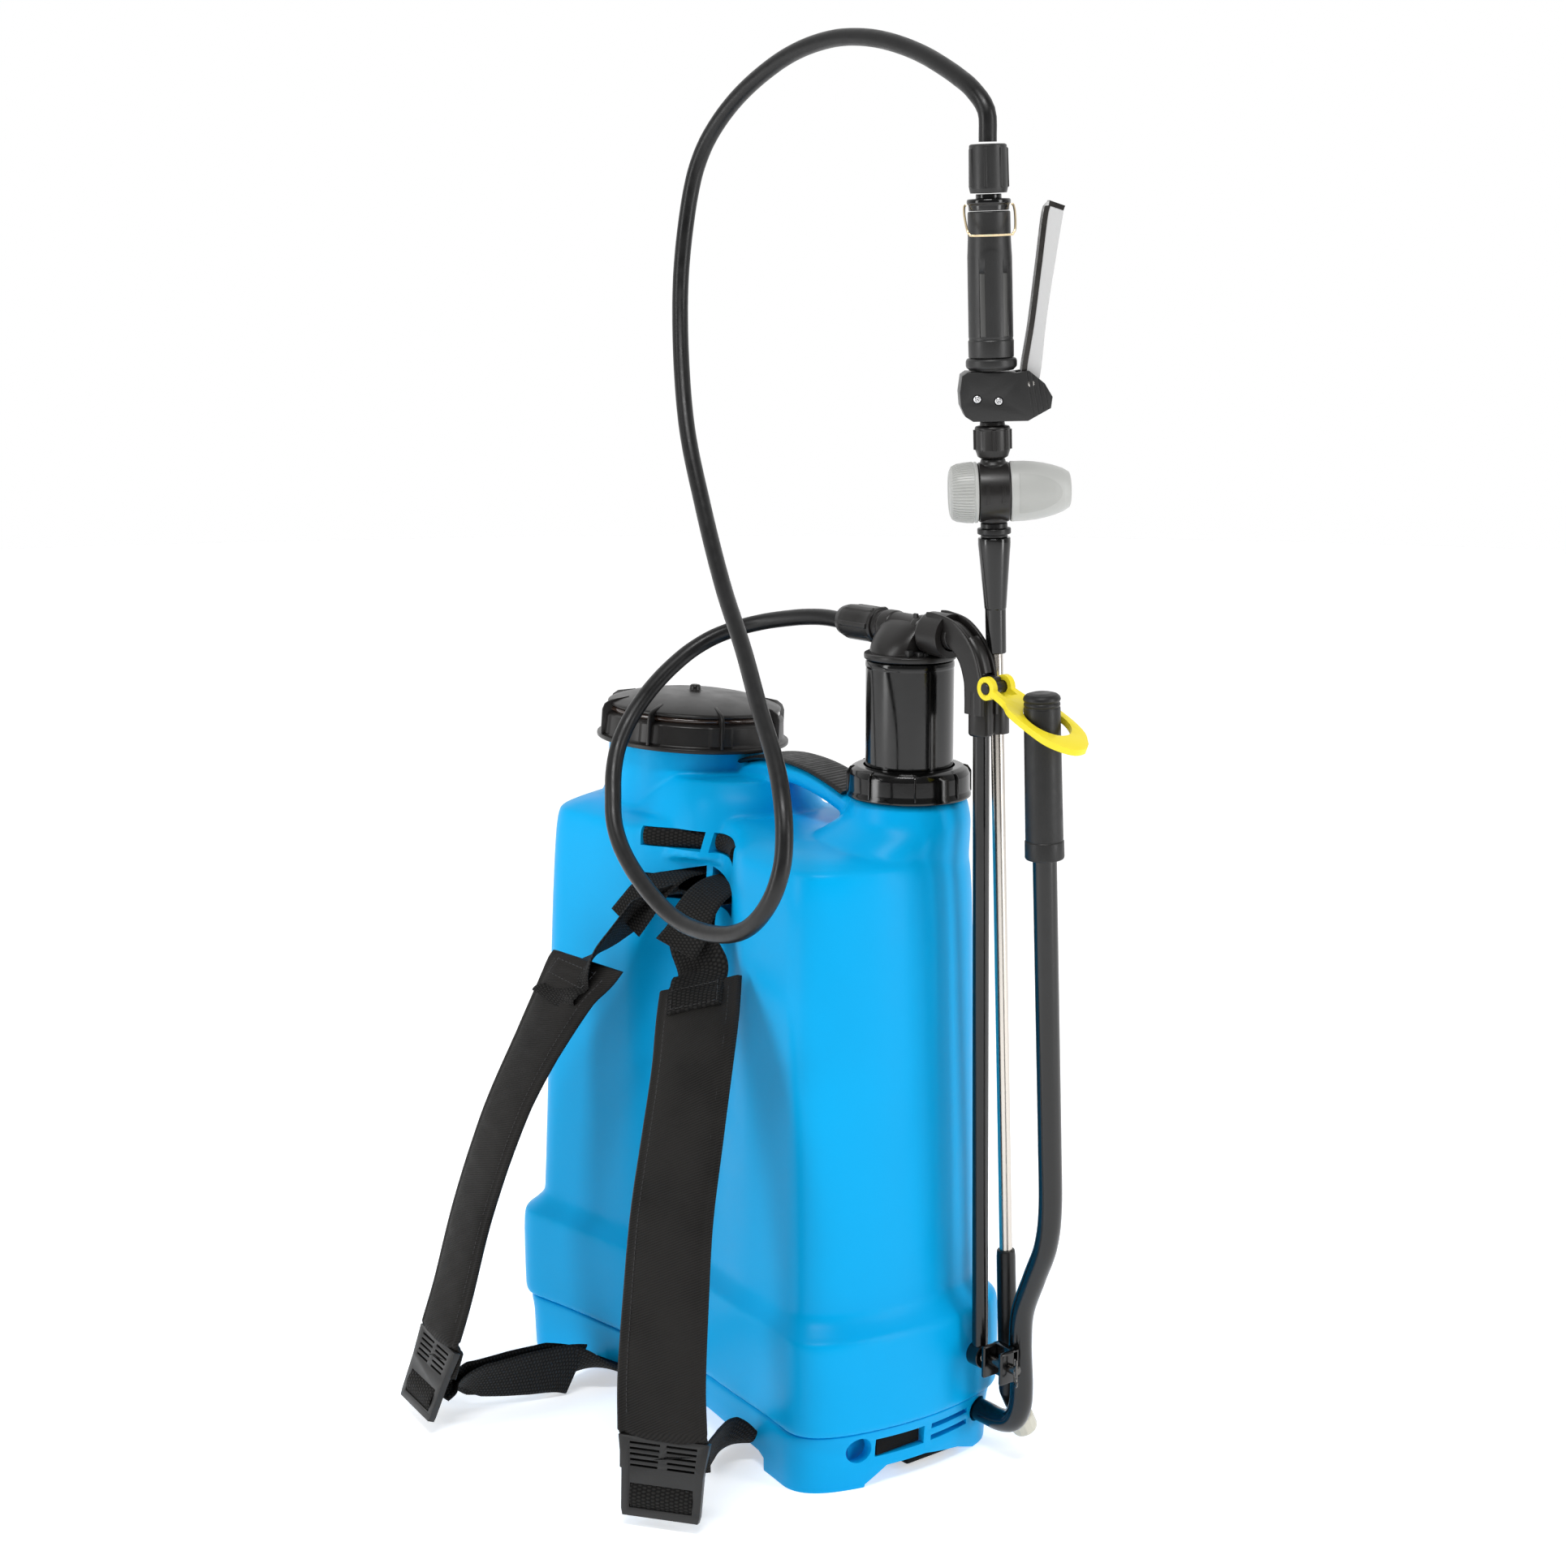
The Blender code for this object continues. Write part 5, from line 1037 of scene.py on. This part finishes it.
WEB_W, WEB_T = 0.038, 0.0016
PAD_W = 0.058
PAD_LINE = {
    "right": mm([(60, -90, 310), (86, -115, 276), (101, -135, 231.5), (109.5, -150, 185.5),
                 (116.5, -160, 138), (122.5, -168, 90), (127.5, -171.5, 58)]),
    "left": mm([(-43.5, -104, 306), (-59, -112, 282), (-75, -130, 237.6), (-81, -150, 194),
                (-90, -167, 137.5), (-88.5, -185, 85.3), (-87.5, -196, 58)]),
}
PAD_ACROSS = {
    "right": [(0.97, 0.25, 0.0), (0.92, 0.38, 0.0), (0.82, 0.57, 0.0)],
    "left": [(0.92, 0.20, 0.33), (0.985, -0.06, 0.12), (0.987, -0.157, 0), (0.987, -0.157, 0),
             (0.987, -0.157, 0)],
}
LOW_LINE = {
    "right": mm([(132.5, -171, 21.5), (127.5, -160, 24), (119, -144, 25), (111, -126, 24.5),
                 (100, -108, 22.5), (90, -90, 14.5), (84.5, -72, 8.5), (84, -55, 9.5)]),
    "left": mm([(-86.6, -206, 22.5), (-86, -193, 24), (-78, -176, 24.5), (-71.5, -158, 24.5),
                (-66.5, -140, 24.5), (-63.5, -118, 22.5), (-64, -96, 15), (-66, -74, 10.5),
                (-68, -55, 10.5)]),
}
LOW_ACROSS = {
    "right": [(0.82, 0.57, 0.0), (0.45, 0.45, 0.76), (0.30, 0.25, 0.92), (0.35, 0.15, 0.92), (0.9, 0, 0.35),
              (1, 0, 0)],
    "left": [(0.987, -0.157, 0), (0.60, 0.10, 0.76), (0.35, 0.10, 0.92), (0.20, 0.05, 0.97), (0.65, 0, 0.75),
             (1, 0, 0.06), (1, 0, 0)],
}
TAIL = {
    "right": mm([(34, -40, 365), (35, -54, 364), (37, -68, 359), (39, -79, 350), (40, -86, 338),
                 (39, -94, 329)]),
    "left": mm([(-13, -42, 365), (-13.5, -56, 364), (-14.5, -67, 359), (-17, -75.5, 351), (-20, -82, 342),
                (-23.5, -88, 333)]),
}
TWIST = {"right": (0.93, 0.15, 0.2), "left": (0.55, -0.62, 0.55)}
TAIL_TILT = {"right": (0.97, 0.10, -0.15), "left": (0.93, -0.10, -0.30)}
LEVEL_REACH, LEVEL_SLOPE = 0.090, 0.62


def strap(name, points, across, nodes=()):
    """A length of webbing along a line, on the sprayer's body."""
    bm = add_strip(bmesh.new(), points, across, flat_section(WEB_W, WEB_T))
    piece = finish_mesh(name, bm, WEB, "sprayer", nodes=nodes, sharp=60)
    run_length(points)
    return piece


def pad_section(share, run):
    """A crowned pad between two bound edges, a little creased where it has been bent."""
    crease = 0.0
    for at, depth in ((0.10, 0.5), (0.27, 0.8), (0.33, 0.5), (0.46, 0.9), (0.55, 0.4), (0.71, 0.7),
                      (0.86, 0.5)):
        crease += depth * math.exp(-(((share - at) / 0.012) ** 2))
    end = min(1.0, share / 0.035, (1 - share) / 0.03)
    out = []
    for face in (1, -1):
        for i in range(33):
            s = (1 - 2 * i / 32) * face
            fold = crease * (0.35 + 0.65 * math.sin(2.1 * s + 40 * share) ** 2) * 0.0006
            ripple = 0.00022 * math.sin(run * 330 + 3 * s) * math.sin(run * 91 + 5 * s)
            core = max(0.0, 1 - (abs(s) / 0.80) ** 2.4) ** 0.5
            height = 0.0017 + (0.0030 * math.sqrt(end) * core) - (fold - ripple) * core
            if abs(s) > 0.80:
                height = 0.0019 * min(1.0, (1.001 - abs(s)) / 0.04) ** 0.5
            out.append((s * PAD_W / 2, face * height))
    return out


def stitch(bm, points, pitch=0.0028, radius=0.00028):
    """Short threads in a row."""
    line = spline(points, max(int(run_length([Vector(p) for p in points]) / pitch), 3))
    for a, b in zip(line, line[1:]):
        add_tube(bm, [a, a.lerp(b, 0.35), a.lerp(b, 0.7)], radius, 6)


def level_end(verts, side, line):
    """Shear the top of the left strap, so that its end is cut level. The right one hangs level already."""
    if side == "right":
        return
    down = (line[1] - line[0]).normalized()
    across = next(frames_along(line, PAD_ACROSS[side]))[1]
    for v in verts:
        along = (v.co - line[0]).dot(down)
        if abs(along) < LEVEL_REACH:
            v.co -= down * (v.co - line[0]).dot(across) * LEVEL_SLOPE * (1 - abs(along) / LEVEL_REACH)


def make_pad(side, line):
    """The padded sleeve. Its lower end is tucked behind the buckle."""
    down = (line[-1] - line[-2]).normalized()
    back = list(frames_along(line, PAD_ACROSS[side]))[-1][2]
    back = back if back.y > 0 else -back
    tucked = [line[-1] + down * 0.0012 * i + back * 0.0045 * min(i / 4, 1.0) for i in range(1, 20)]
    bm = add_strip(bmesh.new(), line + tucked, PAD_ACROSS[side], pad_section)
    level_end(bm.verts, side, line)
    pad = finish_mesh("pad_" + side, bm, CLOTH, "sprayer", nodes=["strap_pad_" + side], sharp=60)


def make_top_web(side, slot_x, line, raised):
    """Webbing from the tank's tunnel to the pad's top, where it lies sewn on the pad."""
    down = (line[1] - line[0]).normalized()
    tunnel = mm([(-44, 386.5), (-36.5, 385), (-34.5, 378), (-34.5, 365), (-37, 358), (-47, 356.2),
                 (-63, 354.5), (-73, 351.5)])
    web = [(slot_x, y, z) for y, z in tunnel]
    web.append(Vector((slot_x, -0.0840, 0.3440)).lerp(line[0] - down * 0.020, 0.45))
    web.append(raised(0, 0.0012) - down * 0.012)
    web += [raised(i, h) for i, h in ((0, 0.0032), (4, 0.0044), (9, 0.0056), (17, 0.0058))]
    twist, end = TWIST[side], PAD_ACROSS[side][0]
    turns = [(1, 0, 0)] * 3 + [twist, Vector(twist).lerp(Vector(end), 0.45), end, end]
    piece = strap("web_top_" + side, spline(web, 180), turns, ["strap_web_top_" + side])
    level_end(piece.data.vertices, side, line)
    strap("web_tail_" + side, spline(TAIL[side], 60), [(1, 0, 0), (1, 0, 0), TAIL_TILT[side]])


def make_stitching(side, line, raised):
    """A sewn box round the patch, and a seam along each edge of the pad."""
    bm = bmesh.new()
    for s in (-0.0160, 0.0160):
        stitch(bm, [raised(i, 0.0068, s) for i in (3, 8, 12, 16)])
    for i in (4, 15):
        stitch(bm, [raised(i, 0.0067, s) for s in (-0.016, 0, 0.016)])
    for s in (-0.0215, 0.0215):
        stitch(bm, [raised(i, 0.0027, s) for i in range(6, 216, 6)], 0.0032)
    level_end(bm.verts, side, line)
    finish_mesh("stitching_" + side, bm, THREAD, "sprayer", sharp=0)


def make_strap(side, slot_x):
    """One shoulder strap, from the tank's tunnel over the pad and buckle to the base."""
    line = spline(PAD_LINE[side], 220)
    make_pad(side, line)
    frames = list(frames_along(line, PAD_ACROSS[side]))
    outward = 1 if frames[0][2].y < 0 else -1

    def raised(i, height, sideways=0.0):
        """A place over the pad's outer face at a step along its line."""
        p, across, up = frames[i]
        return p + across * sideways + up * outward * height

    make_top_web(side, slot_x, line, raised)
    make_stitching(side, line, raised)
    make_buckle(side, line, Vector(PAD_ACROSS[side][-1]))
    make_slot_roll(side, slot_x)
    low = spline(LOW_LINE[side], 120)
    strap("web_low_" + side, low, LOW_ACROSS[side], ["strap_web_low_" + side])
    if side == "left":
        under = [p + Vector((0.0045, 0.001, -0.0012)) for p in low[:78]]
        strap("web_low_tail", under, LOW_ACROSS[side][:4])


def make_slot_roll(side, slot_x):
    """The webbing bent over the tank's bar, seen bulging in the upper slot."""
    points, middle = [], 0.018
    for i in range(40):
        x = slot_x + WEB_W * (i / 39 - 0.5)
        groove = 0.5 + 0.5 * math.cos(math.pi * min(abs(x - middle) / 0.062, 1.0))
        points.append(Vector((x, -0.0690 + 0.027 * groove + 0.0020, 0.38625)))
    section = [(0.0058 * math.cos(math.pi * i / 12), 0.0040 * math.sin(math.pi * i / 12)) for i in range(24)]
    bm = add_strip(bmesh.new(), points, [(0, 0, 1), (0, 0, 1)], section)
    piece = finish_mesh("web_roll_" + side, bm, WEB, "sprayer", sharp=60)
    for loop in piece.data.uv_layers[0].data:
        loop.uv = (loop.uv.y, loop.uv.x)


def make_buckle(side, line, wide):
    """A three-bar slide: grille over the pad's end, open foot with the lower webbing round its bar."""
    down = (line[-1] - line[-2]).normalized()
    at = aim(line[-1] + down * 0.0275, wide.cross(down), wide)
    plan = mm([(-29, -24.5), (29, -24.5), (28.2, -19), (26, -4), (25, 20), (24, 24), (-24, 24), (-25, 20),
               (-26, -4), (-28.2, -19)])
    buckle = finish_mesh("buckle_" + side, add_prism(bmesh.new(), plan, 0.0045), MATT, matrix=at)
    bm = add_box(bmesh.new(), (0.0400, 0.0150, 0.02), (0, 0.0115, 0))
    for row in range(5):
        for x in (-0.0118, 0.0118):
            add_box(bm, (0.0195 - 0.0005 * row, 0.0014, 0.02), (x, -0.0205 + 0.0034 * row, 0))
    boolean(buckle, bm, at)
    soften(buckle, 0.0005)
    declare(buckle, "sprayer", ["strap_buckle_" + side])
    for sign in (1, -1):
        pts = [at @ Vector((0, 0.0038 + 0.0152 * i / 24, sign * 0.0030 * math.sin(math.pi * (i + 2) / 28)))
               for i in range(25)]
        bm = add_strip(bmesh.new(), pts, [wide, wide], flat_section(0.0398, 0.0012))
        name = f"buckle_wrap_{side}_{'outer' if sign > 0 else 'inner'}"
        finish_mesh(name, bm, WEB, "sprayer", sharp=60)


# ---------------------------------------------------------------- lance, regulator, gun and nozzle

REGULATOR_Z = 0.1235
ACROSS = GUN @ aim((0, 0, REGULATOR_Z), (1, 0, 0), (0, 0, 1))
FLAT = GUN @ aim((0, 0, 0), (0, -1, 0), (1, 0, 0))


def turned(name, profile, mat, nodes=(), steps=64, flute=None, fillet=0.0005, at=None, body="lance"):
    """A turned piece of the lance or of what turns on it."""
    return lathe(name, profile, mat, body, at or GUN, nodes, steps, flute, fillet)


def ribs(count, width_deg, height, low, high):
    """A flute that raises narrow ribs round a turned piece between two heights."""
    pitch = 360 / count

    def flute(angle, z):
        off = (math.degrees(angle) + pitch / 2) % pitch - pitch / 2
        return height if abs(off) < width_deg / 2 and low < z < high else 0.0

    return flute


def make_lance():
    """The tube, and what sits on it from the cone up to the outlet nut."""
    tube = mm([(0, 27.5), (4.1, 27.5), (4.1, -430), (0, -430)])
    turned("lance_tube_skin", tube, STEEL, ["lance_tube"], 48)
    cone = mm([(0, 96.5), (9.3, 96.5), (9.7, 96), (9.7, 92.5), (9.2, 87), (6.6, 54), (6.3, 53.5), (6.1, 27.2),
               (5.8, 26.8), (0, 26.8)])
    turned("cone_skin", cone, GLOSS, ["lance_cone"])
    ring = mm([(0, 105.2), (8, 105.2), (8, 102.2), (9.8, 102), (10, 101.6), (10, 99), (9.6, 98.6),
               (8, 98.4), (8, 96.6), (0, 96.6)])
    turned("ring_skin", ring, BLACK, ["regulator_ring"])
    body = mm([(0, 143), (7.2, 143), (7.5, 141.5), (8.8, 140), (8.8, 107), (8, 105.5), (0, 105.5)])
    turned("regulator_neck", body, SATIN, ["regulator_body"])
    drum = mm([(0, 9.2), (17, 9.2), (17.6, 8.6), (17.6, -8.6), (17, -9.2), (0, -9.2)])
    turned("regulator_drum", drum, SATIN, at=ACROSS, steps=96)
    nut = mm([(0, 165), (7.2, 165), (7.5, 162.8), (10, 162.2), (10.5, 161.2), (10.5, 160.5), (10.3, 160),
              (10.3, 148.8), (10.3, 148.4), (9, 144.5), (7.2, 143.4), (0, 143.4)])
    turned("outlet_nut_skin", nut, SATIN, ["outlet_nut"], 144, ribs(8, 14, 0.0011, 0.1486, 0.1603),
           0.0003)


def make_regulator():
    """The knob and the capsule on either side of the drum."""
    knob = mm([(0, -9.5), (17, -9.5), (18, -10), (18.1, -11.2), (17.6, -11.8), (17.6, -12.4), (17.6, -13),
               (17.4, -16.5), (16.6, -22), (15.2, -24.8), (13, -26.2), (11.5, -26.5), (10.5, -25.8),
               (0, -25.8)])
    ridge = ribs(60, 3.4, 0.0005, -0.0255, -0.0123)
    turned("knob_skin", knob, GREY, ["regulator_knob"], 360, ridge, 0.0003, ACROSS, "knob")
    capsule = mm([(0, 9.5), (17.4, 9.5), (17.9, 10.2), (17.8, 12), (17.7, 18), (17.2, 24), (16.3, 29.5),
                  (14.8, 35.5), (12.8, 41), (10.5, 44.7), (8.5, 45.5), (0, 45.5)])
    turned("capsule_skin", capsule, GREY, ["regulator_capsule"], 128, None, 0.0004, ACROSS)
    # The panel is half an ellipse, wrapped round the capsule, with its straight end towards the drum.
    start, length, half_width, thickness = 0.0144, 0.0252, 0.0116, 0.0010
    radii, heights = zip(*capsule[1:-2])
    rings = []
    for i in range(25):
        quarter = math.pi / 2 * i / 24
        height = start + length * math.sin(quarter)
        radius = float(np.interp(height, heights, radii)) + 0.0002
        half = math.asin(max(half_width * math.cos(quarter), 0.0006) / (radius - 0.0002))
        turns = [half * (1 - k / 10) for k in range(21)]
        outer = [Vector((radius * math.sin(t), radius * math.cos(t), height)) for t in turns]
        radius -= thickness
        inner = [Vector((radius * math.sin(t), radius * math.cos(t), height)) for t in turns[::-1]]
        rings.append(outer + inner)
    finish_mesh("capsule_panel", add_loft(bmesh.new(), rings), SILVER, "lance", ACROSS)
    bm = bmesh.new()
    for z, length in ((0.0048, 0.010), (-0.0044, 0.012)):
        add_box(bm, (0.0022, length, 0.0006), (z, 0.0, 0.0174), 0.0002)
    drum_at = GUN @ aim((0, 0, REGULATOR_Z), (0, -1, 0), (1, 0, 0))
    finish_mesh("drum_marks", bm, SATIN, "lance", drum_at)


HOUSE = mm([(-12, 166), (-16.5, 169), (-19, 175), (-19.5, 183), (-18, 192.5), (-15, 194.5), (13, 193.5),
            (21, 194.5), (30, 187), (34.5, 179), (33.5, 172.5), (20, 165.5)])
TRIGGER_EDGE = mm([(-4, -3), (4, -3), (6.5, 8), (10.5, 40), (16.5, 75), (21, 100), (12.5, 103.5), (9, 98),
                   (5, 70), (0, 35), (-4.5, 10), (-5, 0)])
SCREWS = [(-0.0095, 0.1790), (0.0030, 0.1775)]


def make_gun():
    """The trigger's housing, the grip above it, its collar and nut, and the wire bail."""
    house = finish_mesh("housing_skin", add_prism(bmesh.new(), HOUSE[::-1], 0.024), MATT, matrix=FLAT)
    boolean(house, add_box(bmesh.new(), (0.022, 0.0150, 0.030), (0.0250, 0, 0.1965)), GUN)
    for x, z in SCREWS:
        boolean(house, cylinder(0.0026, 0.02, 0.0112, 32), GUN @ aim((x, 0, z), (0, -1, 0)))
    for i in range(4):
        groove = add_box(bmesh.new(), (0.0009, 0.0009, 0.030), (0, -0.0120, 0))
        lean = Matrix.Rotation(math.radians(-8), 4, "Y")
        boolean(house, groove, GUN @ Matrix.Translation((0.0215 + 0.0030 * i, 0, 0.1810)) @ lean)
    soften(house, 0.0012, 40, 3)
    declare(house, "lance", ["trigger_housing"])
    for n, (x, z) in enumerate(SCREWS, 1):
        screw = mm([(0, 12.2), (0.7, 12.2), (0.9, 12.8), (1.6, 12.8), (2.2, 12.3), (2.3, 11.5), (0, 11.5)])
        turned(f"screw_skin_{n}", screw, CHROME, [f"housing_screw_{n}"], 32, None, 0.0002,
               GUN @ aim((x, 0, z), (0, -1, 0)))
    make_trigger()
    flange = mm([(0, 202), (13.8, 202), (14.7, 201.2), (15, 200), (15, 197.5), (14.6, 196.5), (13.6, 195.8),
                 (13, 194.9), (0, 194.9)])
    turned("flange_skin", flange, MATT, ["grip_flange"], 96)
    grip = mm([(0, 202.4), (13.3, 202.4), (13.4, 212), (12.9, 212.6), (12.9, 213.6), (13.1, 214.2), (13, 260),
               (12.5, 270), (12.4, 285), (12, 286), (0, 286)])
    piece = turned("grip_skin", grip, MATT, ["spray_grip"], 128)
    for turn in (-25, 39):
        at = GUN @ Matrix.Rotation(math.radians(turn), 4, "Z")
        boolean(piece, add_box(bmesh.new(), (0.0036, 0.0030, 0.0367), (0, -0.0138, 0.2327)), at)
        strip = add_box(bmesh.new(), (0.0034, 0.0012, 0.0364), (0, -0.0122, 0.2327), 0.0002)
        finish_mesh(f"grip_strip_{'left' if turn < 0 else 'right'}", strip, PANEL, "lance", at)
    collar = mm([(0, 295.7), (7.5, 295.7), (7.5, 293.2), (12.2, 293), (12.8, 292.2), (12.8, 290.5),
                 (12, 289.5), (11.8, 286.3), (0, 286.3)])
    turned("collar_skin", collar, GLOSS, ["grip_collar"], 96)
    nut = mm([(0, 323.8), (9.8, 323.8), (10.8, 323.2), (10.9, 321.8), (10.9, 321), (11.2, 299.6),
              (11.2, 298.8), (10.6, 296.2), (0, 296)])
    turned("gun_nut_skin", nut, MATT, ["hose_nut_gun"], 144, ribs(7, 9, 0.0008, 0.2992, 0.3214),
           0.0003)
    bail = mm([(13, 0, 289.5), (14.2, -0.5, 289), (14.6, -6, 284), (13.8, -15, 276), (12.5, -16.5, 273.5),
               (10, -17.2, 272.5)])
    wire = spline(bail + [(-x, y, z) for x, y, z in bail[::-1]], 90)
    finish_mesh("bail_wire", add_tube(bmesh.new(), wire, 0.0007, 16), WIRE, "bail", GUN,
                ["lock_bail"])


def make_trigger():
    """Bent sheet channel: a web towards the grip and two cheeks, round a pivot."""
    at = GUN @ aim((0.0220, 0, 0.1870), (0, -1, 0), (1, 0, 0))
    edge = [p.xy for p in spline([(*p, 0) for p in TRIGGER_EDGE[1:6]], 30)]
    back = [p.xy for p in spline([(*p, 0) for p in TRIGGER_EDGE[6:]], 30)]
    bm = add_prism(bmesh.new(), edge + back + [Vector(TRIGGER_EDGE[0])], 0.0130)
    piece = finish_mesh("trigger_skin", bm, SHEET, matrix=at)
    hollow = [(p.x + 0.0016, p.y) for p in back[3:-3]] + [(p.x + 0.0360, p.y) for p in back[-4:2:-1]]
    boolean(piece, add_prism(bmesh.new(), hollow, 0.0106), at)
    soften(piece, 0.0005)
    declare(piece, "trigger", ["trigger_lever"])
    # The dark strip along the back edge and the dark tip are painted shade on the one light sheet.
    rim = back[1:-1]
    strip = rim + [Vector((p.x + 0.0030, p.y)) for p in rim[::-1]]
    flange = add_prism(bmesh.new(), strip, 0.0134)
    finish_mesh("trigger_edge_painted_shade", flange, DARK_STEEL_AND_EDGE_SHADE, "trigger", at)
    tip = mm([(12, 101), (12.5, 104), (21.5, 100.6), (20.5, 98)])
    finish_mesh("trigger_tip", add_prism(bmesh.new(), tip, 0.0134), DARK_STEEL_AND_EDGE_SHADE, "trigger", at)
    pin = mm([(0, 11.8), (1.8, 11.8), (2, 11.6), (2, -11.6), (1.8, -11.8), (0, -11.8)])
    turned("trigger_pin", pin, NICKEL, ["trigger_pivot"], 32, None, 0.0001, at)


FOOT_TILT = math.radians(27)
FOOT = aim(GUN @ Vector((0, 0, -0.4510)), (0, math.sin(FOOT_TILT), -math.cos(FOOT_TILT)))


def make_foot():
    """The sleeve at the lance's lower end, its elbow and the nozzle."""
    sleeve = mm([(0, -355.5), (5.4, -355.5), (5.7, -356.2), (6, -360), (6.1, -425), (6.3, -425.5),
                 (6.3, -430), (6, -430.6), (5.9, -451.2), (0, -451.2)])
    turned("sleeve_skin", sleeve, BLACK, ["lance_sleeve"])
    elbow = mm([(0, -5), (3.4, -4.6), (5.2, -3), (5.9, 0), (6, 12), (0, 12)])
    turned("elbow_skin", elbow, BLACK, at=FOOT)
    nozzle = mm([(0, 12), (5.6, 12), (5.6, 15.8), (6.6, 16), (6.9, 16.6), (6.9, 21.6), (6.6, 22.2), (5, 22.5),
                 (5, 33), (0, 33)])
    turned("nozzle_skin", nozzle, NICKEL, ["nozzle_body"], 48, None, 0.0003, FOOT)
    cap = mm([(0, 22.9), (5.3, 22.8), (7.8, 22.8), (8.2, 23.4), (8.3, 24), (8.3, 33), (8, 34.6), (7, 35.5),
              (1.8, 35.5), (1.2, 34.5), (0, 34.5)])
    turned("cap_skin", cap, CREAM, ["nozzle_cap"], 96, ribs(12, 14, 0.0003, 0.0238, 0.0335), 0.0002,
           FOOT, "nozzle")


make_tank()
make_base()
make_handle()
make_lid()
make_pump()
make_arm()
make_clip()
make_lever()
for strap_side, strap_x in SLOT_X.items():
    make_strap(strap_side, strap_x)
make_lance()
make_regulator()
make_gun()
make_foot()

# The nodes with no piece of their own keep their CAD shape.
for node, mat in {
    "lid_gasket": SEAL, "fill_strainer": FILTER, "pump_guide": BLACK, "piston_cup": SEAL,
    "suction_filter": FILTER, "lever_retainer": BLACK,
}.items():
    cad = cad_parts[node]
    cad.data.materials.clear()
    cad.data.materials.append(mat)
